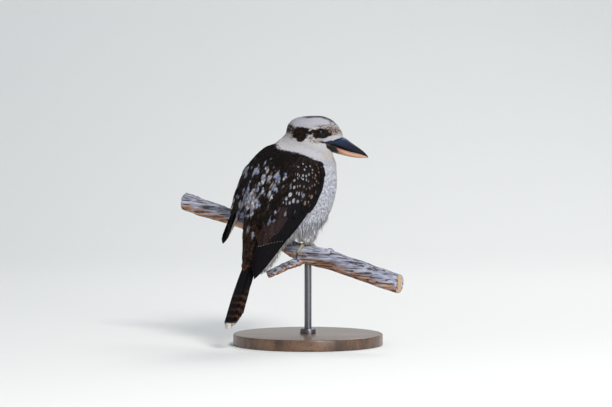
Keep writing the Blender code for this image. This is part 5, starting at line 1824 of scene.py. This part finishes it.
# Lamps: name, place, width, power, colour
LAMP_TARGET = Vector((0, 0, 0.2))
LAMPS = [
    ("key", (0.9, -2.3, 2.1), 0.9, 72.0, (1.0, 0.97, 0.93)),
    ("fill", (1.4, -2.6, 0.5), 1.6, 26.0, (0.93, 0.95, 1.0)),
    ("back", (0.8, 1.6, 2.0), 1.2, 26.0, (1.0, 0.98, 0.95)),
]
SKY = (0.86, 0.91, 1.0, 1)
SKY_POWER = 0.48


def make_stage():
    look = Look("floor", Roughness=0.9, Specular_IOR_Level=0.2)
    look.paint(look.mix(look.noise(3.0, 2.0), (0.74, 0.75, 0.74), (0.80, 0.81, 0.80)))
    bend = arc(FLOOR_BACK, FLOOR_TURN, FLOOR_TURN, -90, 0, 12)
    profile = [(FLOOR_FRONT, 0.0)] + bend + [(FLOOR_BACK + FLOOR_TURN, WALL_TOP)]
    count = len(profile)
    points = [(x, y, z) for x in (-FLOOR_SIDE, FLOOR_SIDE) for y, z in profile]
    faces = [(i, count + i, count + i + 1, i + 1) for i in range(count - 1)]
    mesh = bpy.data.meshes.new("backdrop")
    mesh.from_pydata(points, [], faces)
    mesh.shade_smooth()
    mesh.materials.append(look.material)
    new_object("backdrop", mesh)


def make_light():
    for name, place, size, power, colour in LAMPS:
        light = bpy.data.lights.new(name, "AREA")
        light.shape = "DISK"
        light.size = size
        light.energy = power
        light.color = colour
        lamp = new_object(name, light)
        lamp.location = place
        lamp.rotation_euler = (LAMP_TARGET - Vector(place)).to_track_quat("-Z", "Y").to_euler()
    world = bpy.data.worlds.new("studio")
    world.use_nodes = True
    sky = world.node_tree.nodes["Background"].inputs
    sky[0].default_value = SKY
    sky[1].default_value = SKY_POWER
    bpy.context.scene.world = world
    bpy.context.scene.view_settings.view_transform = "Standard"


def make_camera():
    camera = new_object("camera", bpy.data.cameras.new("camera"))
    camera.data.sensor_width = VIEW_SENSOR
    camera.data.lens = VIEW_LENS
    back = Vector((0, -math.cos(VIEW_RISE), math.sin(VIEW_RISE))) * VIEW_DISTANCE
    camera.location = VIEW_TARGET + back
    camera.rotation_euler = (-back).to_track_quat("-Z", "Y").to_euler()
    bpy.context.scene.camera = camera


def main():
    make_camera()
    make_stage()
    make_light()
    skin = make_skin()
    bill = make_bill(skin)
    make_coat(skin, bill)
    make_eyes()
    vanes = vane_look()
    torso = tree_of(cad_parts["torso"])
    make_wing("right", torso, vanes)
    make_wing("left", torso, vanes)
    make_cape(torso, tree_of(skin))
    make_tail(vanes)
    make_feet()
    make_perch()
    make_stand()


main()
